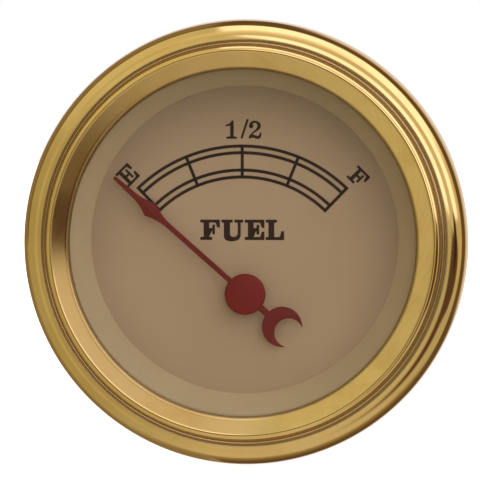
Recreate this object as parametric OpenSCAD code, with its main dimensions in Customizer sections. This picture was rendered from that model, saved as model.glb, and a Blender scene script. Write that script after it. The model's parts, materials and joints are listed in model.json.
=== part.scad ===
// Fuel gauge for a round hole in a dashboard: a spun bezel, a dial with a short swept pointer
// that turns below its middle, an air-core movement, a lamp and a clamp bracket.
// Sizes are in millimetres. The origin is on the case's axis, at the face that rests on the panel.
// The modules are drawn lying down: x to the right, y towards 12 o'clock, z towards the driver.
// stand_up() turns them to the model's own frame, where the dial faces -Y and 12 o'clock is +Z.

/* [Bezel] */
// How far the bezel stands out past the case
bezel_lap = 3.75; // [3.6:0.05:4.6]
// Thickness of the spun sheet
bezel_sheet = 0.6; // [0.45:0.05:0.7]
// How far the side wall leans in towards the front
wall_lean = 0.3; // [0.2:0.05:0.35]
// Radius of the wide round shoulder at the rim
shoulder_r = 3; // [2.8:0.05:3.2]
// Width of the side wall and the shoulder together, seen from the front
shoulder_w = 2.5; // [2.4:0.05:2.6]
// Width of the outer groove
groove_w = 0.32; // [0.26:0.02:0.36]
// Radius of the thin ridge between the two grooves
ridge_r = 0.2; // [0.16:0.01:0.22]
// Radius of the inner shoulder between the inner groove and the funnel
inner_shoulder_r = 1.35; // [1.2:0.05:1.45]
// Width of the bezel's face, from its outside to the opening in the lip
bezel_face = 6.45; // [6.2:0.05:6.9]
// Radius of the rolled lip that holds the glass
lip_r = 0.3; // [0.25:0.01:0.35]

/* [Glass and trim] */
// Thickness of the flat glass
lens_thick = 1.6; // [1.2:0.1:2.2]
// Width of the ground bevel round the glass
lens_bevel = 0.3; // [0.2:0.05:0.4]
// Thickness of the trim ring's sheet
trim_sheet = 0.6; // [0.5:0.05:0.8]
// Width of the trim ring's slope that shows inside the lip
trim_slope = 2.85; // [2.5:0.05:3.2]

/* [Dial] */
// Depth of the dial's face behind the panel plane
dial_depth = 1.4; // [1.2:0.1:2]
// Thickness of the dial
dial_thick = 0.5; // [0.4:0.05:0.8]
// Distance of the pointer's axis below the dial's centre
pivot_drop = 7; // [6.6:0.1:7.4]

/* [Pointer] */
// Gap between the tip at rest and the dial's edge inside the trim ring
tip_gap = 0.98; // [0.8:0.02:2.4]
// Angle of the pointer at rest, to the left of 12 o'clock
pointer_rest = 48.5; // [45:0.5:50]
// Thickness of the pointer's sheet
blade_thick = 0.35; // [0.3:0.05:0.5]
// Width of the stem
stem_w = 0.7; // [0.6:0.05:0.9]
// Width of the swell
swell_w = 2.25; // [1.6:0.05:2.6]
// Distance from the tip back to the widest place of the swell
swell_back = 6.35; // [6:0.05:7.5]
// Width of the tip
tip_w = 0.5; // [0.4:0.05:0.6]
// Width of the neck between the hub and the crescent
neck_w = 0.92; // [0.7:0.02:1.2]
// Outside radius of the crescent
moon_r = 2.73; // [2.4:0.01:3]
// Distance from the axis to the crescent's middle
moon_at = 6.64; // [6.2:0.02:7]
// Radius of the round cut that leaves the crescent
moon_cut_r = 1.95; // [1.8:0.01:2.1]
// Distance from the crescent's middle to the middle of that cut
moon_cut_at = 1.2; // [1.1:0.02:1.4]
// Diameter of the hub's cap
hub_d = 5.56; // [5:0.02:6]
// Height of the cap above the blade
hub_h = 0.95; // [0.8:0.05:1.1]
// Radius of the cap's rounded edge
hub_edge_r = 0.35; // [0.2:0.05:0.4]
// Radius of the steel spindle
spindle_r = 0.6; // [0.5:0.05:0.65]

/* [Case] */
// Outside diameter of the case
case_d = 52.8; // [52.4:0.1:53.2]
// Thickness of the drawn sheet
case_wall = 0.8; // [0.6:0.05:0.9]
// Room between the circuit board and the case's floor
floor_gap = 4.4; // [3.9:0.1:11]
// Outside radius of the corner round the back
case_corner_r = 2; // [1.4:0.1:2.6]
// Radius of the fillet where the flange turns out
flange_fillet_r = 0.8; // [0.5:0.05:0.85]

/* [Movement] */
// Width of the square bobbin
bobbin_w = 15; // [14.6:0.1:15.4]
// Length of the bobbin along the spindle
bobbin_len = 13; // [12.6:0.1:13.4]
// Radius of the bobbin's corners
bobbin_corner_r = 2.5; // [1.8:0.1:2.8]
// Height of the wire in each coil
coil_build = 1.4; // [1.1:0.1:1.5]
// Distance from the spindle's axis to the near side of each half coil
coil_inner = 2.5; // [2.4:0.05:2.7]
// Width of each half coil
coil_w = 3.4; // [3:0.1:3.5]
// Radius of the rotor magnet
rotor_r = 5; // [4.6:0.1:5.1]
// Thickness of the rotor magnet
rotor_thick = 4; // [3.6:0.1:4.4]
// Outside radius of the shield can
can_r = 12; // [11.9:0.1:12.2]
// Thickness of the shield can
can_wall = 0.6; // [0.5:0.05:0.65]
// Thickness of the circuit board
board_thick = 1.6; // [1.2:0.1:1.7]
// Gap between the circuit board's edge and the case
board_gap = 1.4; // [0.8:0.1:2]

/* [Terminals] */
// Major radius of the studs' thread
stud_r = 2.083; // [2.05:0.01:2.15]
// Radius of the studs' thread where a nut holds it
pitch_r = 1.83; // [1.75:0.01:1.85]
// Free length of each terminal stud behind its nuts
terminal_free = 6.2; // [5:0.1:10]
// Width of the hexagon nuts across their flats
nut_af = 8.73; // [7.9:0.01:9]
// Thickness of the hexagon nuts
nut_thick = 3.2; // [2.4:0.1:3.4]
// Thickness of the insulating washers
insulator_thick = 0.8; // [0.6:0.1:1]
// Thickness of the lock washers
lock_thick = 0.8; // [0.6:0.1:1]

/* [Lamp] */
// Radius of the lamp socket's barrel
socket_r = 5.9; // [5.6:0.1:6]
// Radius of the lamp socket's flange
socket_flange_r = 7.6; // [7.4:0.1:7.8]
// Thickness of the lamp socket's flange
socket_flange_thick = 1.4; // [1:0.1:1.6]
// Length of the grip behind the flange
socket_grip = 5.3; // [4.5:0.1:7]
// Radius of the lamp's glass
bulb_r = 4.8; // [4.2:0.1:4.8]
// Length of the lamp's glass in front of its wedge
bulb_len = 14; // [12:0.5:15]
// Length of the two terminal tabs
tab_len = 8; // [6.5:0.5:9]
// Width of the two terminal tabs
tab_w = 6.3; // [4.8:0.1:6.3]

/* [Clamp] */
// Panel thickness that the bracket's feet are set to
panel_thick = 5; // [2.4:0.1:6]
// Width of the bracket's strap
strap_w = 12; // [10:0.5:12]
// Thickness of the strap
strap_thick = 1.5; // [1.2:0.1:1.6]
// Gap between the case and each leg
leg_gap = 1; // [0.9:0.1:1.6]
// Outside radius of the strap's two bends
strap_bend_r = 3; // [2.2:0.1:4]
// Distance from the case's back to the strap
strap_gap = 5.8; // [5.6:0.1:7]
// Distance from the axis to each clamp stud
clamp_stud_at = 12; // [11.4:0.1:13]
// Length of the clamp studs behind the case
clamp_stud_len = 17.2; // [16:0.2:20]
// Radius of the thumb nuts
thumb_r = 4.8; // [4.4:0.1:5]
// Thickness of the thumb nuts
thumb_thick = 4; // [3.4:0.1:4.6]
// Number of grip flutes on each thumb nut
thumb_flutes = 12; // [8:1:14]

/* [Clearances] */
// Clearance of a part that is set into another
seat_gap = 0.05; // [0.03:0.01:0.1]
// Clearance of a shaft that turns
run_gap = 0.05; // [0.03:0.01:0.08]
// Clearance round a screw or stud in a plain hole
hole_gap = 0.2; // [0.15:0.05:0.3]
// Clearance between loose fitting covers and the pieces inside
loose_gap = 0.25; // [0.2:0.05:0.35]

/* [Hidden] */
$fn = 64;
eps = 0.01;

// Places along z, from the panel plane forwards
flange_back_z = bezel_sheet;
flange_front_z = flange_back_z + case_wall;
trim_front_z = flange_front_z + trim_sheet;
glass_z = trim_front_z + lens_thick;

// Radii of the case, the bezel, its steps and what it holds
case_r = case_d / 2;
case_inner_r = case_r - case_wall;
bezel_r = case_r + bezel_lap;
bezel_corner_r = bezel_sheet;
bezel_inner_r = bezel_r - bezel_sheet;
wall_top_z = glass_z - 1.5;
wall_angle = atan(wall_lean / (wall_top_z - bezel_corner_r));
shoulder_at = bezel_r - wall_lean - shoulder_r * cos(wall_angle);
shoulder_z = wall_top_z - shoulder_r * sin(wall_angle);
shoulder_edge_r = bezel_r - shoulder_w;
groove_z = glass_z + 0.45;
sheet_lift = 0.05;
ridge_at = shoulder_edge_r - groove_w - ridge_r;
inner_groove_w = 0.08;
inner_shoulder_at = ridge_at - ridge_r - inner_groove_w - inner_shoulder_r;
inner_shoulder_end = 73;
window_r = bezel_r - bezel_face;
dial_window_r = window_r - trim_slope;
lip_at = window_r + lip_r;
lip_z = glass_z + lip_r;
flange_r = bezel_inner_r - loose_gap;
gasket_lap = 0.2;
gasket_r = flange_r - gasket_lap;
gasket_w = 1.3;
lens_r = gasket_r - gasket_w - seat_gap;
crimp_r = case_r + 0.9;
gasket_h = lens_thick + trim_sheet - bezel_sheet - 0.25;

// Places along z, from the panel plane backwards
dial_z = -dial_depth;
dial_back_z = dial_z - dial_thick;
carrier_plate = 1.5;
carrier_back_z = dial_back_z - carrier_plate;
arm_thick = 0.7;
arm_front_z = carrier_back_z - 0.5;
arm_back_z = arm_front_z - arm_thick;
bush_front_z = arm_back_z - 0.2;
tube_front_z = bush_front_z - 0.2;
sine_front_z = tube_front_z - 0.2;
cosine_front_z = sine_front_z - coil_build;
bobbin_front_z = cosine_front_z - coil_build;
bobbin_mid_z = bobbin_front_z - bobbin_len / 2;
bobbin_back_z = bobbin_front_z - bobbin_len;
cosine_back_z = bobbin_back_z - coil_build;
sine_back_z = cosine_back_z - coil_build;
can_floor_z = sine_back_z - 0.4;
can_back_z = can_floor_z - can_wall;
can_front_z = sine_front_z + 0.2;
spacer_len = 3.2;
board_front_z = can_back_z - spacer_len;
board_back_z = board_front_z - board_thick;
case_floor_z = board_back_z - floor_gap;
case_back_z = case_floor_z - case_wall;

// Pointer
blade_back_z = -0.1;
blade_front_z = blade_back_z + blade_thick;
blade_ring_r = hub_d / 2 - 0.3;
boss_r = 1.2;
boss_back_z = dial_z + 0.4;
spindle_top_z = blade_front_z + 0.4;
tip_r = dial_window_r - tip_gap;
along = pivot_drop * cos(pointer_rest);
pointer_len = along + sqrt(along * along - pivot_drop * pivot_drop + tip_r * tip_r);
swell_at = pointer_len - swell_back;
flare_len = 3.65;
flare_from = swell_at - flare_len;
blade_waist_w = stem_w + 0.05;
blade_waist_back = 3.2;
blade_waist_at = pointer_len - blade_waist_back;

// Movement
rotor_gap = 0.7;
chamber_r = rotor_r + rotor_gap;
chamber_half = rotor_thick / 2 + rotor_gap;
bush_r = 1.4;
tube_r = 2.2;
bearing_depth = 1.7;
foot_at = bobbin_w / 2 - 1.1;
foot_r = 1.6;
screw_r = 1;
screw_head_r = 1.9;
screw_head_thick = 1.2;
slot_w = 0.5;
slot_depth = 0.5;
pin_r = 0.35;
pin_side = 0.7;
return_magnet_r = 1;
return_magnet_len = 4;
return_magnet_at = 5.7;
board_r = case_inner_r - board_gap;
can_inner_r = can_r - can_wall;

// Dial carrier
carrier_r = case_inner_r - loose_gap;
carrier_rim = 0.65;
dial_r = carrier_r - carrier_rim - seat_gap;
peg_r = 0.7;
peg_at = dial_r - 1.9;
pillar_r = 2;
pillar_at = carrier_r - 3.35;
pillar_angles = [37, -31];
pillars = [
    for (side = [-1, 1], angle = pillar_angles)
        [side * pillar_at * cos(angle), pillar_at * sin(angle)]
];
pillar_screw_depth = 5;
skirt_h = 3;
stop_at = 6;
stop_r = 0.6;
arm_w = 1;
arm_len = 7.2;
stop_gap = 0.05;
stop_angle = pointer_rest + asin((stop_r + arm_w / 2 + stop_gap) / stop_at);

// Terminals, each as the place of its stud
terminal_x = case_inner_r - 11.1;
terminal_y = 7;
ignition_at = [-terminal_x, terminal_y];
sender_at = [-terminal_x, -terminal_y];
ground_at = [12, -14];
terminals = [ignition_at, sender_at, ground_at];
insulated = [ignition_at, sender_at];
stud_head_af = 6;
stud_head_thick = 2.4;
bush_outer_r = 4;
spigot_r = 3;
insulator_r = 5;
fixing_nut_z = case_back_z - insulator_thick;
lock_z = fixing_nut_z - nut_thick;
wire_nut_z = lock_z - lock_thick;
free_z = wire_nut_z - nut_thick;
stud_end_z = free_z - terminal_free;
stud_point = 0.4;

// Lamp
lamp_at = [case_inner_r - 10.1, 4];
lamp_hole_r = socket_r + hole_gap;
lug_r = 7.2;
lug_w = 3;
lug_thick = 1.1;
lug_turn = 60;
socket_front_z = board_back_z - 0.8;
grip_z = case_back_z - socket_flange_thick;
grip_back_z = grip_z - socket_grip;
wedge_w = 9.2;
wedge_thick = 2.1;
wedge_len = 6;
glass_wall = 0.5;
bulb_base_z = socket_front_z + seat_gap;
tab_y = 2.6;
tab_thick = 0.8;
tab_hole_at = 3;
tab_hole_r = 0.9;

// Components on the board: radius and length of the body, radius of the leads, place along y
lead_lift = 0.2;
lead_reach = 1.4;
resistor_r = 2;
resistor_len = 9;
resistor_lead_r = 0.35;
resistor_y = 17.5;
diode_r = 0.9;
diode_len = 4.4;
diode_lead_r = 0.3;
diode_y = -(board_r - 2.6);

// Clamp
strap_front_z = case_back_z - strap_gap;
strap_back_z = strap_front_z - strap_thick;
leg_inner = case_r + leg_gap;
leg_outer = leg_inner + strap_thick;
strap_hole_r = stud_r + 0.5;
clamp_washer_r = 4.2;
clamp_washer_thick = 0.8;
thumb_front_z = strap_back_z - clamp_washer_thick;
clamp_stud_z = case_back_z - clamp_stud_len;
stud_base_r = 3.5;
stud_base_thick = 0.8;

// Turns a drawing with z towards the driver into the model's frame
module stand_up() {
    rotate([90, 0, 0])
        children();
}

// Moves a drawing to the pointer's axis
module at_pivot() {
    translate([0, -pivot_drop, 0])
        children();
}

// Full turn of a section drawn with x as the radius and y as z
module turn() {
    rotate_extrude($fn = 96)
        children();
}

// Round bar between two heights
module bar(r, from_z, to_z) {
    translate([0, 0, min(from_z, to_z)])
        cylinder(r = r, h = abs(to_z - from_z));
}

// Round tube between two heights
module pipe(outer, inner, from_z, to_z) {
    difference() {
        bar(outer, from_z, to_z);
        bar(inner, min(from_z, to_z) - 1, max(from_z, to_z) + 1);
    }
}

// Rectangle with round corners, centred
module round_rectangle(w, h, r) {
    square([w - 2 * r, h], center = true);
    square([w, h - 2 * r], center = true);
    for (x = [-1, 1], y = [-1, 1])
        translate([x * (w / 2 - r), y * (h / 2 - r)])
            circle(r);
}

// Hexagon bar between two heights
module hexagon_bar(af, from_z, to_z) {
    translate([0, 0, min(from_z, to_z)])
        cylinder(r = af / sqrt(3), h = abs(to_z - from_z), $fn = 6);
}

// Hexagon nut whose front face is at z, with both faces chamfered
module hexagon_nut(z) {
    corner = nut_af / sqrt(3);
    chamfer = 0.35;
    difference() {
        intersection() {
            hexagon_bar(nut_af, z, z - nut_thick);
            turn()
                polygon([
                    [0, z], [corner - 2 * chamfer, z], [corner, z - chamfer],
                    [corner, z - nut_thick + chamfer], [corner - 2 * chamfer, z - nut_thick],
                    [0, z - nut_thick]
                ]);
        }
        bar(pitch_r + seat_gap, z + 1, z - nut_thick - 1);
    }
}

// Split ring washer whose front face is at z
module split_washer(outer, inner, z, thick) {
    difference() {
        pipe(outer, inner, z, z - thick);
        rotate([0, 0, 20])
            translate([0, -0.3, z - thick - 1])
                cube([outer + 1, 0.6, thick + 2]);
    }
}

// Screw from behind the board, with a slotted head
module board_screw(tip_z) {
    difference() {
        union() {
            bar(screw_r, tip_z, board_back_z);
            bar(screw_head_r, board_back_z, board_back_z - screw_head_thick);
        }
        translate([-screw_head_r - 1, -slot_w / 2, board_back_z - screw_head_thick - 1])
            cube([2 * screw_head_r + 2, slot_w, 1 + slot_depth]);
    }
}

// Points along an arc round a centre, from one angle to another
function arc_points(centre_r, centre_z, r, from, to, steps) = [
    for (i = [0:steps])
        let (a = from + (to - from) * i / steps)
            [centre_r + r * cos(a), centre_z + r * sin(a)]
];

// Face of the bezel: back corner, leaning wall, shoulder, ridge, inner shoulder, funnel and lip
function bezel_face_points() =
    let (
        funnel_top = arc_points(
            inner_shoulder_at, groove_z, inner_shoulder_r, 0, inner_shoulder_end, 1)[1],
        funnel = funnel_top - [lip_at, lip_z],
        lip_start = 90 + atan2(funnel[1], funnel[0]) - asin(lip_r / norm(funnel))
    )
    concat(
        arc_points(bezel_r - bezel_corner_r, bezel_corner_r, bezel_corner_r, -90, wall_angle, 7),
        arc_points(shoulder_at, shoulder_z, shoulder_r, wall_angle,
            acos((shoulder_edge_r - shoulder_at) / shoulder_r), 16),
        [[shoulder_edge_r, groove_z]],
        arc_points(ridge_at, groove_z, ridge_r, 0, 180, 8),
        arc_points(inner_shoulder_at, groove_z, inner_shoulder_r, 0, inner_shoulder_end, 12),
        arc_points(lip_at, lip_z, lip_r, lip_start, 270, 9)
    );

// Back of the same sheet, from the lip out to the crimp behind the case's flange
function bezel_back_points() =
    let (
        under_z = glass_z + sheet_lift,
        under_r = shoulder_r - bezel_sheet,
        pocket_r = inner_shoulder_r - bezel_sheet
    )
    concat(
        [[lip_at + 1, under_z]],
        arc_points(inner_shoulder_at, groove_z, pocket_r, inner_shoulder_end, 0, 6),
        [[inner_shoulder_at + pocket_r, under_z]],
        arc_points(shoulder_at, shoulder_z, under_r,
            asin((under_z - shoulder_z) / under_r), wall_angle, 10),
        [[bezel_inner_r, bezel_sheet], [crimp_r, bezel_sheet], [crimp_r, 0]]
    );

module bezel() {
    color("goldenrod")
        stand_up()
            turn()
                polygon(concat(bezel_face_points(), bezel_back_points()));
}

module lens() {
    color("lightcyan", 0.4)
        stand_up()
            turn()
                polygon([
                    [0, trim_front_z], [lens_r - lens_bevel, trim_front_z],
                    [lens_r, trim_front_z + lens_bevel], [lens_r, glass_z - lens_bevel],
                    [lens_r - lens_bevel, glass_z], [0, glass_z]
                ]);
}

module lens_gasket() {
    color("dimgray")
        stand_up()
            turn() {
                translate([gasket_r - gasket_w, flange_front_z])
                    square([gasket_w, gasket_h - gasket_w / 2]);
                translate([gasket_r - gasket_w / 2, flange_front_z + gasket_h - gasket_w / 2])
                    circle(gasket_w / 2);
            }
}

module trim_ring() {
    inner = dial_window_r;
    color("tan")
        stand_up()
            turn()
                polygon([
                    [inner, dial_z], [window_r - 0.25, trim_front_z], [lens_r, trim_front_z],
                    [lens_r, flange_front_z], [window_r + 0.15, flange_front_z],
                    [inner + 0.55, dial_z]
                ]);
}

module dial() {
    color("tan")
        stand_up()
            difference() {
                bar(dial_r, dial_z, dial_back_z);
                at_pivot()
                    bar(boss_r + 0.4, dial_z + 1, dial_back_z - 1);
                for (side = [-1, 1])
                    translate([side * peg_at, 0, 0])
                        bar(peg_r + seat_gap, dial_z + 1, dial_back_z - 1);
            }
}

// Plate, rim and skirt of the moulded carrier
module carrier_section() {
    translate([0, carrier_back_z])
        square([carrier_r, carrier_plate]);
    translate([carrier_r - carrier_rim, carrier_back_z])
        square([carrier_rim, dial_z - carrier_back_z]);
    translate([carrier_r - 1.2, carrier_back_z - skirt_h])
        square([1.2, skirt_h + eps]);
}

module dial_carrier() {
    color("whitesmoke")
        stand_up()
            difference() {
                union() {
                    turn()
                        carrier_section();
                    for (at = pillars)
                        translate([at[0], at[1], 0])
                            bar(pillar_r, carrier_back_z + eps, board_front_z);
                    for (side = [-1, 1])
                        translate([side * peg_at, 0, 0])
                            bar(peg_r, dial_z - 0.1, dial_back_z - eps);
                    at_pivot()
                        for (side = [-1, 1])
                            rotate([0, 0, side * stop_angle])
                                translate([0, -stop_at, 0])
                                    bar(stop_r, carrier_back_z + eps, arm_back_z - 0.2);
                }
                at_pivot()
                    bar(boss_r + 0.3, dial_z + 1, carrier_back_z - 1);
                translate([lamp_at[0], lamp_at[1], 0])
                    bar(bulb_r - 0.6, dial_z + 1, carrier_back_z - 1);
                for (at = pillars)
                    translate([at[0], at[1], 0])
                        bar(screw_r + seat_gap, board_front_z + pillar_screw_depth + 1,
                            board_front_z - 1);
            }
}

// Half width of the blade at a distance from the axis: stem, hollow flanks of the swell, tip
function blade_half(at) =
    at < flare_from ? stem_w / 2 :
    at < swell_at ?
        stem_w / 2 + (swell_w - stem_w) / 2 * pow((at - flare_from) / (swell_at - flare_from), 2.2) :
    at < blade_waist_at ?
        blade_waist_w / 2
        + (swell_w - blade_waist_w) / 2 * pow((blade_waist_at - at) / (blade_waist_at - swell_at), 2) :
    blade_waist_w / 2
        - (blade_waist_w - tip_w) / 2 * (at - blade_waist_at) / (pointer_len - blade_waist_at);

// Distances from the axis at which the blade's outline has a point
blade_steps = concat(
    [hub_d / 2 - 0.6],
    [for (i = [0 : 6]) flare_from + (swell_at - flare_from) * i / 7],
    [for (i = [0 : 7]) swell_at + (blade_waist_at - swell_at) * i / 7],
    [pointer_len - tip_w / 2]
);

// Crescent that balances the blade, with its horns away from the axis
module crescent() {
    difference() {
        circle(moon_r);
        translate([0, -moon_cut_at])
            circle(moon_cut_r);
    }
}

module pointer_blade() {
    color("firebrick")
        stand_up()
            at_pivot()
                rotate([0, 0, pointer_rest])
                    difference() {
                        translate([0, 0, blade_back_z])
                            linear_extrude(blade_thick) {
                                polygon(concat(
                                    [for (at = blade_steps) [blade_half(at), at]],
                                    [for (i = [len(blade_steps) - 1 : -1 : 0])
                                        [-blade_half(blade_steps[i]), blade_steps[i]]]
                                ));
                                translate([0, pointer_len - tip_w / 2])
                                    circle(tip_w / 2);
                                circle(blade_ring_r);
                                translate([-neck_w / 2, -moon_at + moon_r - 0.5])
                                    square([neck_w, moon_at - moon_r]);
                                translate([0, -moon_at])
                                    crescent();
                            }
                        bar(boss_r + seat_gap, blade_back_z - 1, blade_front_z + 1);
                    }
}

module pointer_hub() {
    cap_r = hub_d / 2;
    color("firebrick")
        stand_up()
            at_pivot()
                difference() {
                    turn() {
                        translate([0, blade_front_z])
                            square([cap_r, hub_h - hub_edge_r - 0.2]);
                        translate([0, blade_front_z])
                            square([cap_r - hub_edge_r, hub_h - 0.2]);
                        translate([cap_r - hub_edge_r, blade_front_z + hub_h - hub_edge_r - 0.2])
                            circle(hub_edge_r);
                        intersection() {
                            translate([0, blade_front_z])
                                square([cap_r - hub_edge_r, hub_h]);
                            translate([0, blade_front_z + hub_h - 16])
                                circle(16);
                        }
                        translate([0, boss_back_z])
                            square([boss_r, blade_front_z - boss_back_z + eps]);
                    }
                    bar(spindle_r + seat_gap / 2, boss_back_z - 1, spindle_top_z + 0.02);
                }
}

module spindle() {
    color("silver")
        stand_up()
            at_pivot()
                turn()
                    polygon([
                        [0, spindle_top_z], [spindle_r, spindle_top_z],
                        [spindle_r, bobbin_mid_z - chamber_half - bearing_depth + 0.4],
                        [0, bobbin_mid_z - chamber_half - bearing_depth + 0.15]
                    ]);
}

module stop_arm() {
    color("silver")
        stand_up()
            at_pivot()
                rotate([0, 0, pointer_rest])
                    difference() {
                        translate([0, 0, arm_back_z])
                            linear_extrude(arm_thick) {
                                circle(2);
                                translate([-arm_w / 2, -arm_len + arm_w / 2])
                                    square([arm_w, arm_len - arm_w / 2]);
                                translate([0, -arm_len + arm_w / 2])
                                    circle(arm_w / 2);
                            }
                        bar(spindle_r + seat_gap / 2, arm_back_z - 1, arm_front_z + 1);
                    }
}

module rotor_magnet() {
    color("slategray")
        stand_up()
            at_pivot()
                pipe(rotor_r, spindle_r + seat_gap / 2,
                    bobbin_mid_z + rotor_thick / 2, bobbin_mid_z - rotor_thick / 2);
}

module spindle_bush() {
    color("gold")
        stand_up()
            at_pivot()
                pipe(bush_r, spindle_r + run_gap, bush_front_z, bobbin_front_z - 1.5);
}

// Block of one bobbin half between two heights, with the four round feet that carry it
module bobbin_block(from_z, to_z) {
    translate([0, 0, min(from_z, to_z)])
        linear_extrude(abs(to_z - from_z))
            round_rectangle(bobbin_w, bobbin_w, bobbin_corner_r);
}

module bobbin_front() {
    color("ivory")
        stand_up()
            at_pivot()
                difference() {
                    union() {
                        bobbin_block(bobbin_front_z, bobbin_mid_z);
                        bar(tube_r, tube_front_z, bobbin_front_z - eps);
                        for (x = [-1, 1], y = [-1, 1])
                            translate([x * foot_at, y * foot_at, 0])
                                intersection() {
                                    bar(foot_r, cosine_front_z, bobbin_front_z - eps);
                                    translate([0, 0, cosine_front_z - coil_build])
                                        cube([
                                            2 * (foot_at - coil_inner - coil_w - 0.1),
                                            2 * (foot_at - coil_inner - coil_w - 0.1), 9
                                        ], center = true);
                                }
                    }
                    bar(chamber_r, bobbin_mid_z - 1, bobbin_mid_z + chamber_half);
                    bar(bush_r + seat_gap / 2, bush_front_z + 1, bobbin_front_z - 1.5);
                    bar(spindle_r + 0.25, bobbin_front_z, bobbin_mid_z);
                    translate([-return_magnet_at, return_magnet_at, 0])
                        bar(return_magnet_r + seat_gap, bobbin_front_z + 1,
                            bobbin_front_z - return_magnet_len - 0.1);
                }
}

module bobbin_rear() {
    color("ivory")
        stand_up()
            at_pivot()
                difference() {
                    union() {
                        bobbin_block(bobbin_mid_z, bobbin_back_z);
                        for (x = [-1, 1], y = [-1, 1])
                            translate([x * foot_at, y * foot_at, 0])
                                intersection() {
                                    bar(foot_r, bobbin_back_z + eps, can_floor_z);
                                    translate([0, 0, bobbin_back_z])
                                        cube([
                                            2 * (foot_at - coil_inner - coil_w - 0.1),
                                            2 * (foot_at - coil_inner - coil_w - 0.1), 9
                                        ], center = true);
                                }
                    }
                    bar(chamber_r, bobbin_mid_z + 1, bobbin_mid_z - chamber_half);
                    bar(spindle_r + run_gap, bobbin_mid_z,
                        bobbin_mid_z - chamber_half - bearing_depth);
                }
}

// Two half coils side by side, drawn as loops in the x and z plane
module coil_pair(front_z, back_z, half_width, hole_front_z, hole_back_z) {
    mid = (front_z + back_z) / 2;
    for (side = [0, 1])
        mirror([0, side, 0])
            translate([0, coil_inner + coil_w, mid])
                rotate([90, 0, 0])
                    linear_extrude(coil_w)
                        difference() {
                            round_rectangle(2 * (half_width + coil_build), front_z - back_z,
                                coil_build);
                            translate([0, (hole_front_z + hole_back_z) / 2 - mid])
                                square([2 * half_width, hole_front_z - hole_back_z],
                                    center = true);
                        }
}

module coil_cosine() {
    color("chocolate")
        stand_up()
            at_pivot()
                coil_pair(cosine_front_z, cosine_back_z, bobbin_w / 2 + seat_gap,
                    bobbin_front_z, bobbin_back_z);
}

module coil_sine() {
    color("peru")
        stand_up()
            at_pivot()
                rotate([0, 0, 90])
                    coil_pair(sine_front_z, sine_back_z, bobbin_w / 2 + seat_gap,
                        cosine_front_z, cosine_back_z);
}

module shield_can() {
    color("lightgray")
        stand_up()
            at_pivot()
                difference() {
                    bar(can_r, can_front_z, can_back_z);
                    bar(can_inner_r, can_front_z + 1, can_floor_z);
                    for (x = [-1, 1])
                        translate([x * foot_at, foot_at, 0])
                            bar(screw_r + hole_gap, can_floor_z + 1, can_back_z - 1);
                    for (x = [-1, 1], side = [-1, 1])
                        translate([x * foot_at + side * pin_side, -foot_at, 0])
                            bar(pin_r + hole_gap, can_floor_z + 1, can_back_z - 1);
                }
}

module return_magnet() {
    color("dimgray")
        stand_up()
            at_pivot()
                translate([-return_magnet_at, return_magnet_at, 0])
                    bar(return_magnet_r, bobbin_front_z, bobbin_front_z - return_magnet_len);
}

module coil_pins() {
    color("gold")
        stand_up()
            at_pivot()
                for (x = [-1, 1], side = [-1, 1])
                    translate([x * foot_at + side * pin_side, -foot_at, 0])
                        bar(pin_r, can_floor_z, board_back_z - 0.8);
}

module movement_spacers() {
    color("gold")
        stand_up()
            at_pivot()
                for (x = [-1, 1])
                    translate([x * foot_at, foot_at, 0])
                        pipe(pillar_r, screw_r + hole_gap, can_back_z, board_front_z);
}

module movement_screws() {
    color("silver")
        stand_up()
            at_pivot()
                for (x = [-1, 1])
                    translate([x * foot_at, foot_at, 0])
                        board_screw(can_floor_z);
}

module circuit_board() {
    color("darkgreen")
        stand_up()
            difference() {
                bar(board_r, board_front_z, board_back_z);
                for (at = terminals)
                    translate([at[0], at[1], 0])
                        bar(pitch_r + hole_gap, board_front_z + 1, board_back_z - 1);
                translate([lamp_at[0], lamp_at[1], 0])
                    bar(bulb_r + 0.8, board_front_z + 1, board_back_z - 1);
                for (at = pillars)
                    translate([at[0], at[1], 0])
                        bar(screw_r + hole_gap, board_front_z + 1, board_back_z - 1);
                at_pivot() {
                    for (x = [-1, 1])
                        translate([x * foot_at, foot_at, 0])
                            bar(screw_r + hole_gap, board_front_z + 1, board_back_z - 1);
                    for (x = [-1, 1], side = [-1, 1])
                        translate([x * foot_at + side * pin_side, -foot_at, 0])
                            bar(pin_r + seat_gap, board_front_z + 1, board_back_z - 1);
                }
            }
}

module board_screws() {
    color("silver")
        stand_up()
            for (at = pillars)
                translate([at[0], at[1], 0])
                    board_screw(board_front_z + pillar_screw_depth);
}

// Round component that lies on the board along x, on two bent leads
module leaded_part(body_r, body_len, lead_r, y) {
    axis_z = board_front_z + lead_lift + body_r;
    reach = body_len / 2 + lead_reach;
    translate([0, y, axis_z]) {
        rotate([0, 90, 0])
            cylinder(r = body_r, h = body_len, center = true);
        rotate([0, 90, 0])
            cylinder(r = lead_r, h = 2 * reach, center = true);
        for (side = [-1, 1])
            translate([side * reach, 0, 0]) {
                sphere(lead_r);
                bar(lead_r, 0, -lead_lift - body_r);
            }
    }
}

module ballast_resistor() {
    color("burlywood")
        stand_up()
            leaded_part(resistor_r, resistor_len, resistor_lead_r, resistor_y);
}

module zener_diode() {
    color("black")
        stand_up()
            leaded_part(diode_r, diode_len, diode_lead_r, diode_y);
}

// Wall, floor and flange of the case, filled inside
module case_outline() {
    translate([0, case_back_z + case_corner_r])
        square([case_r, flange_front_z - case_back_z - case_corner_r]);
    translate([0, case_back_z])
        square([case_r - case_corner_r, case_corner_r + eps]);
    translate([case_r - case_corner_r, case_back_z + case_corner_r])
        circle(case_corner_r);
    translate([case_r - eps, flange_back_z])
        square([flange_r - case_r + eps, case_wall]);
    difference() {
        translate([case_r - eps, flange_back_z - flange_fillet_r])
            square([flange_fillet_r + eps, flange_fillet_r + eps]);
        translate([case_r + flange_fillet_r, flange_back_z - flange_fillet_r])
            circle(flange_fillet_r);
    }
}

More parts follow.
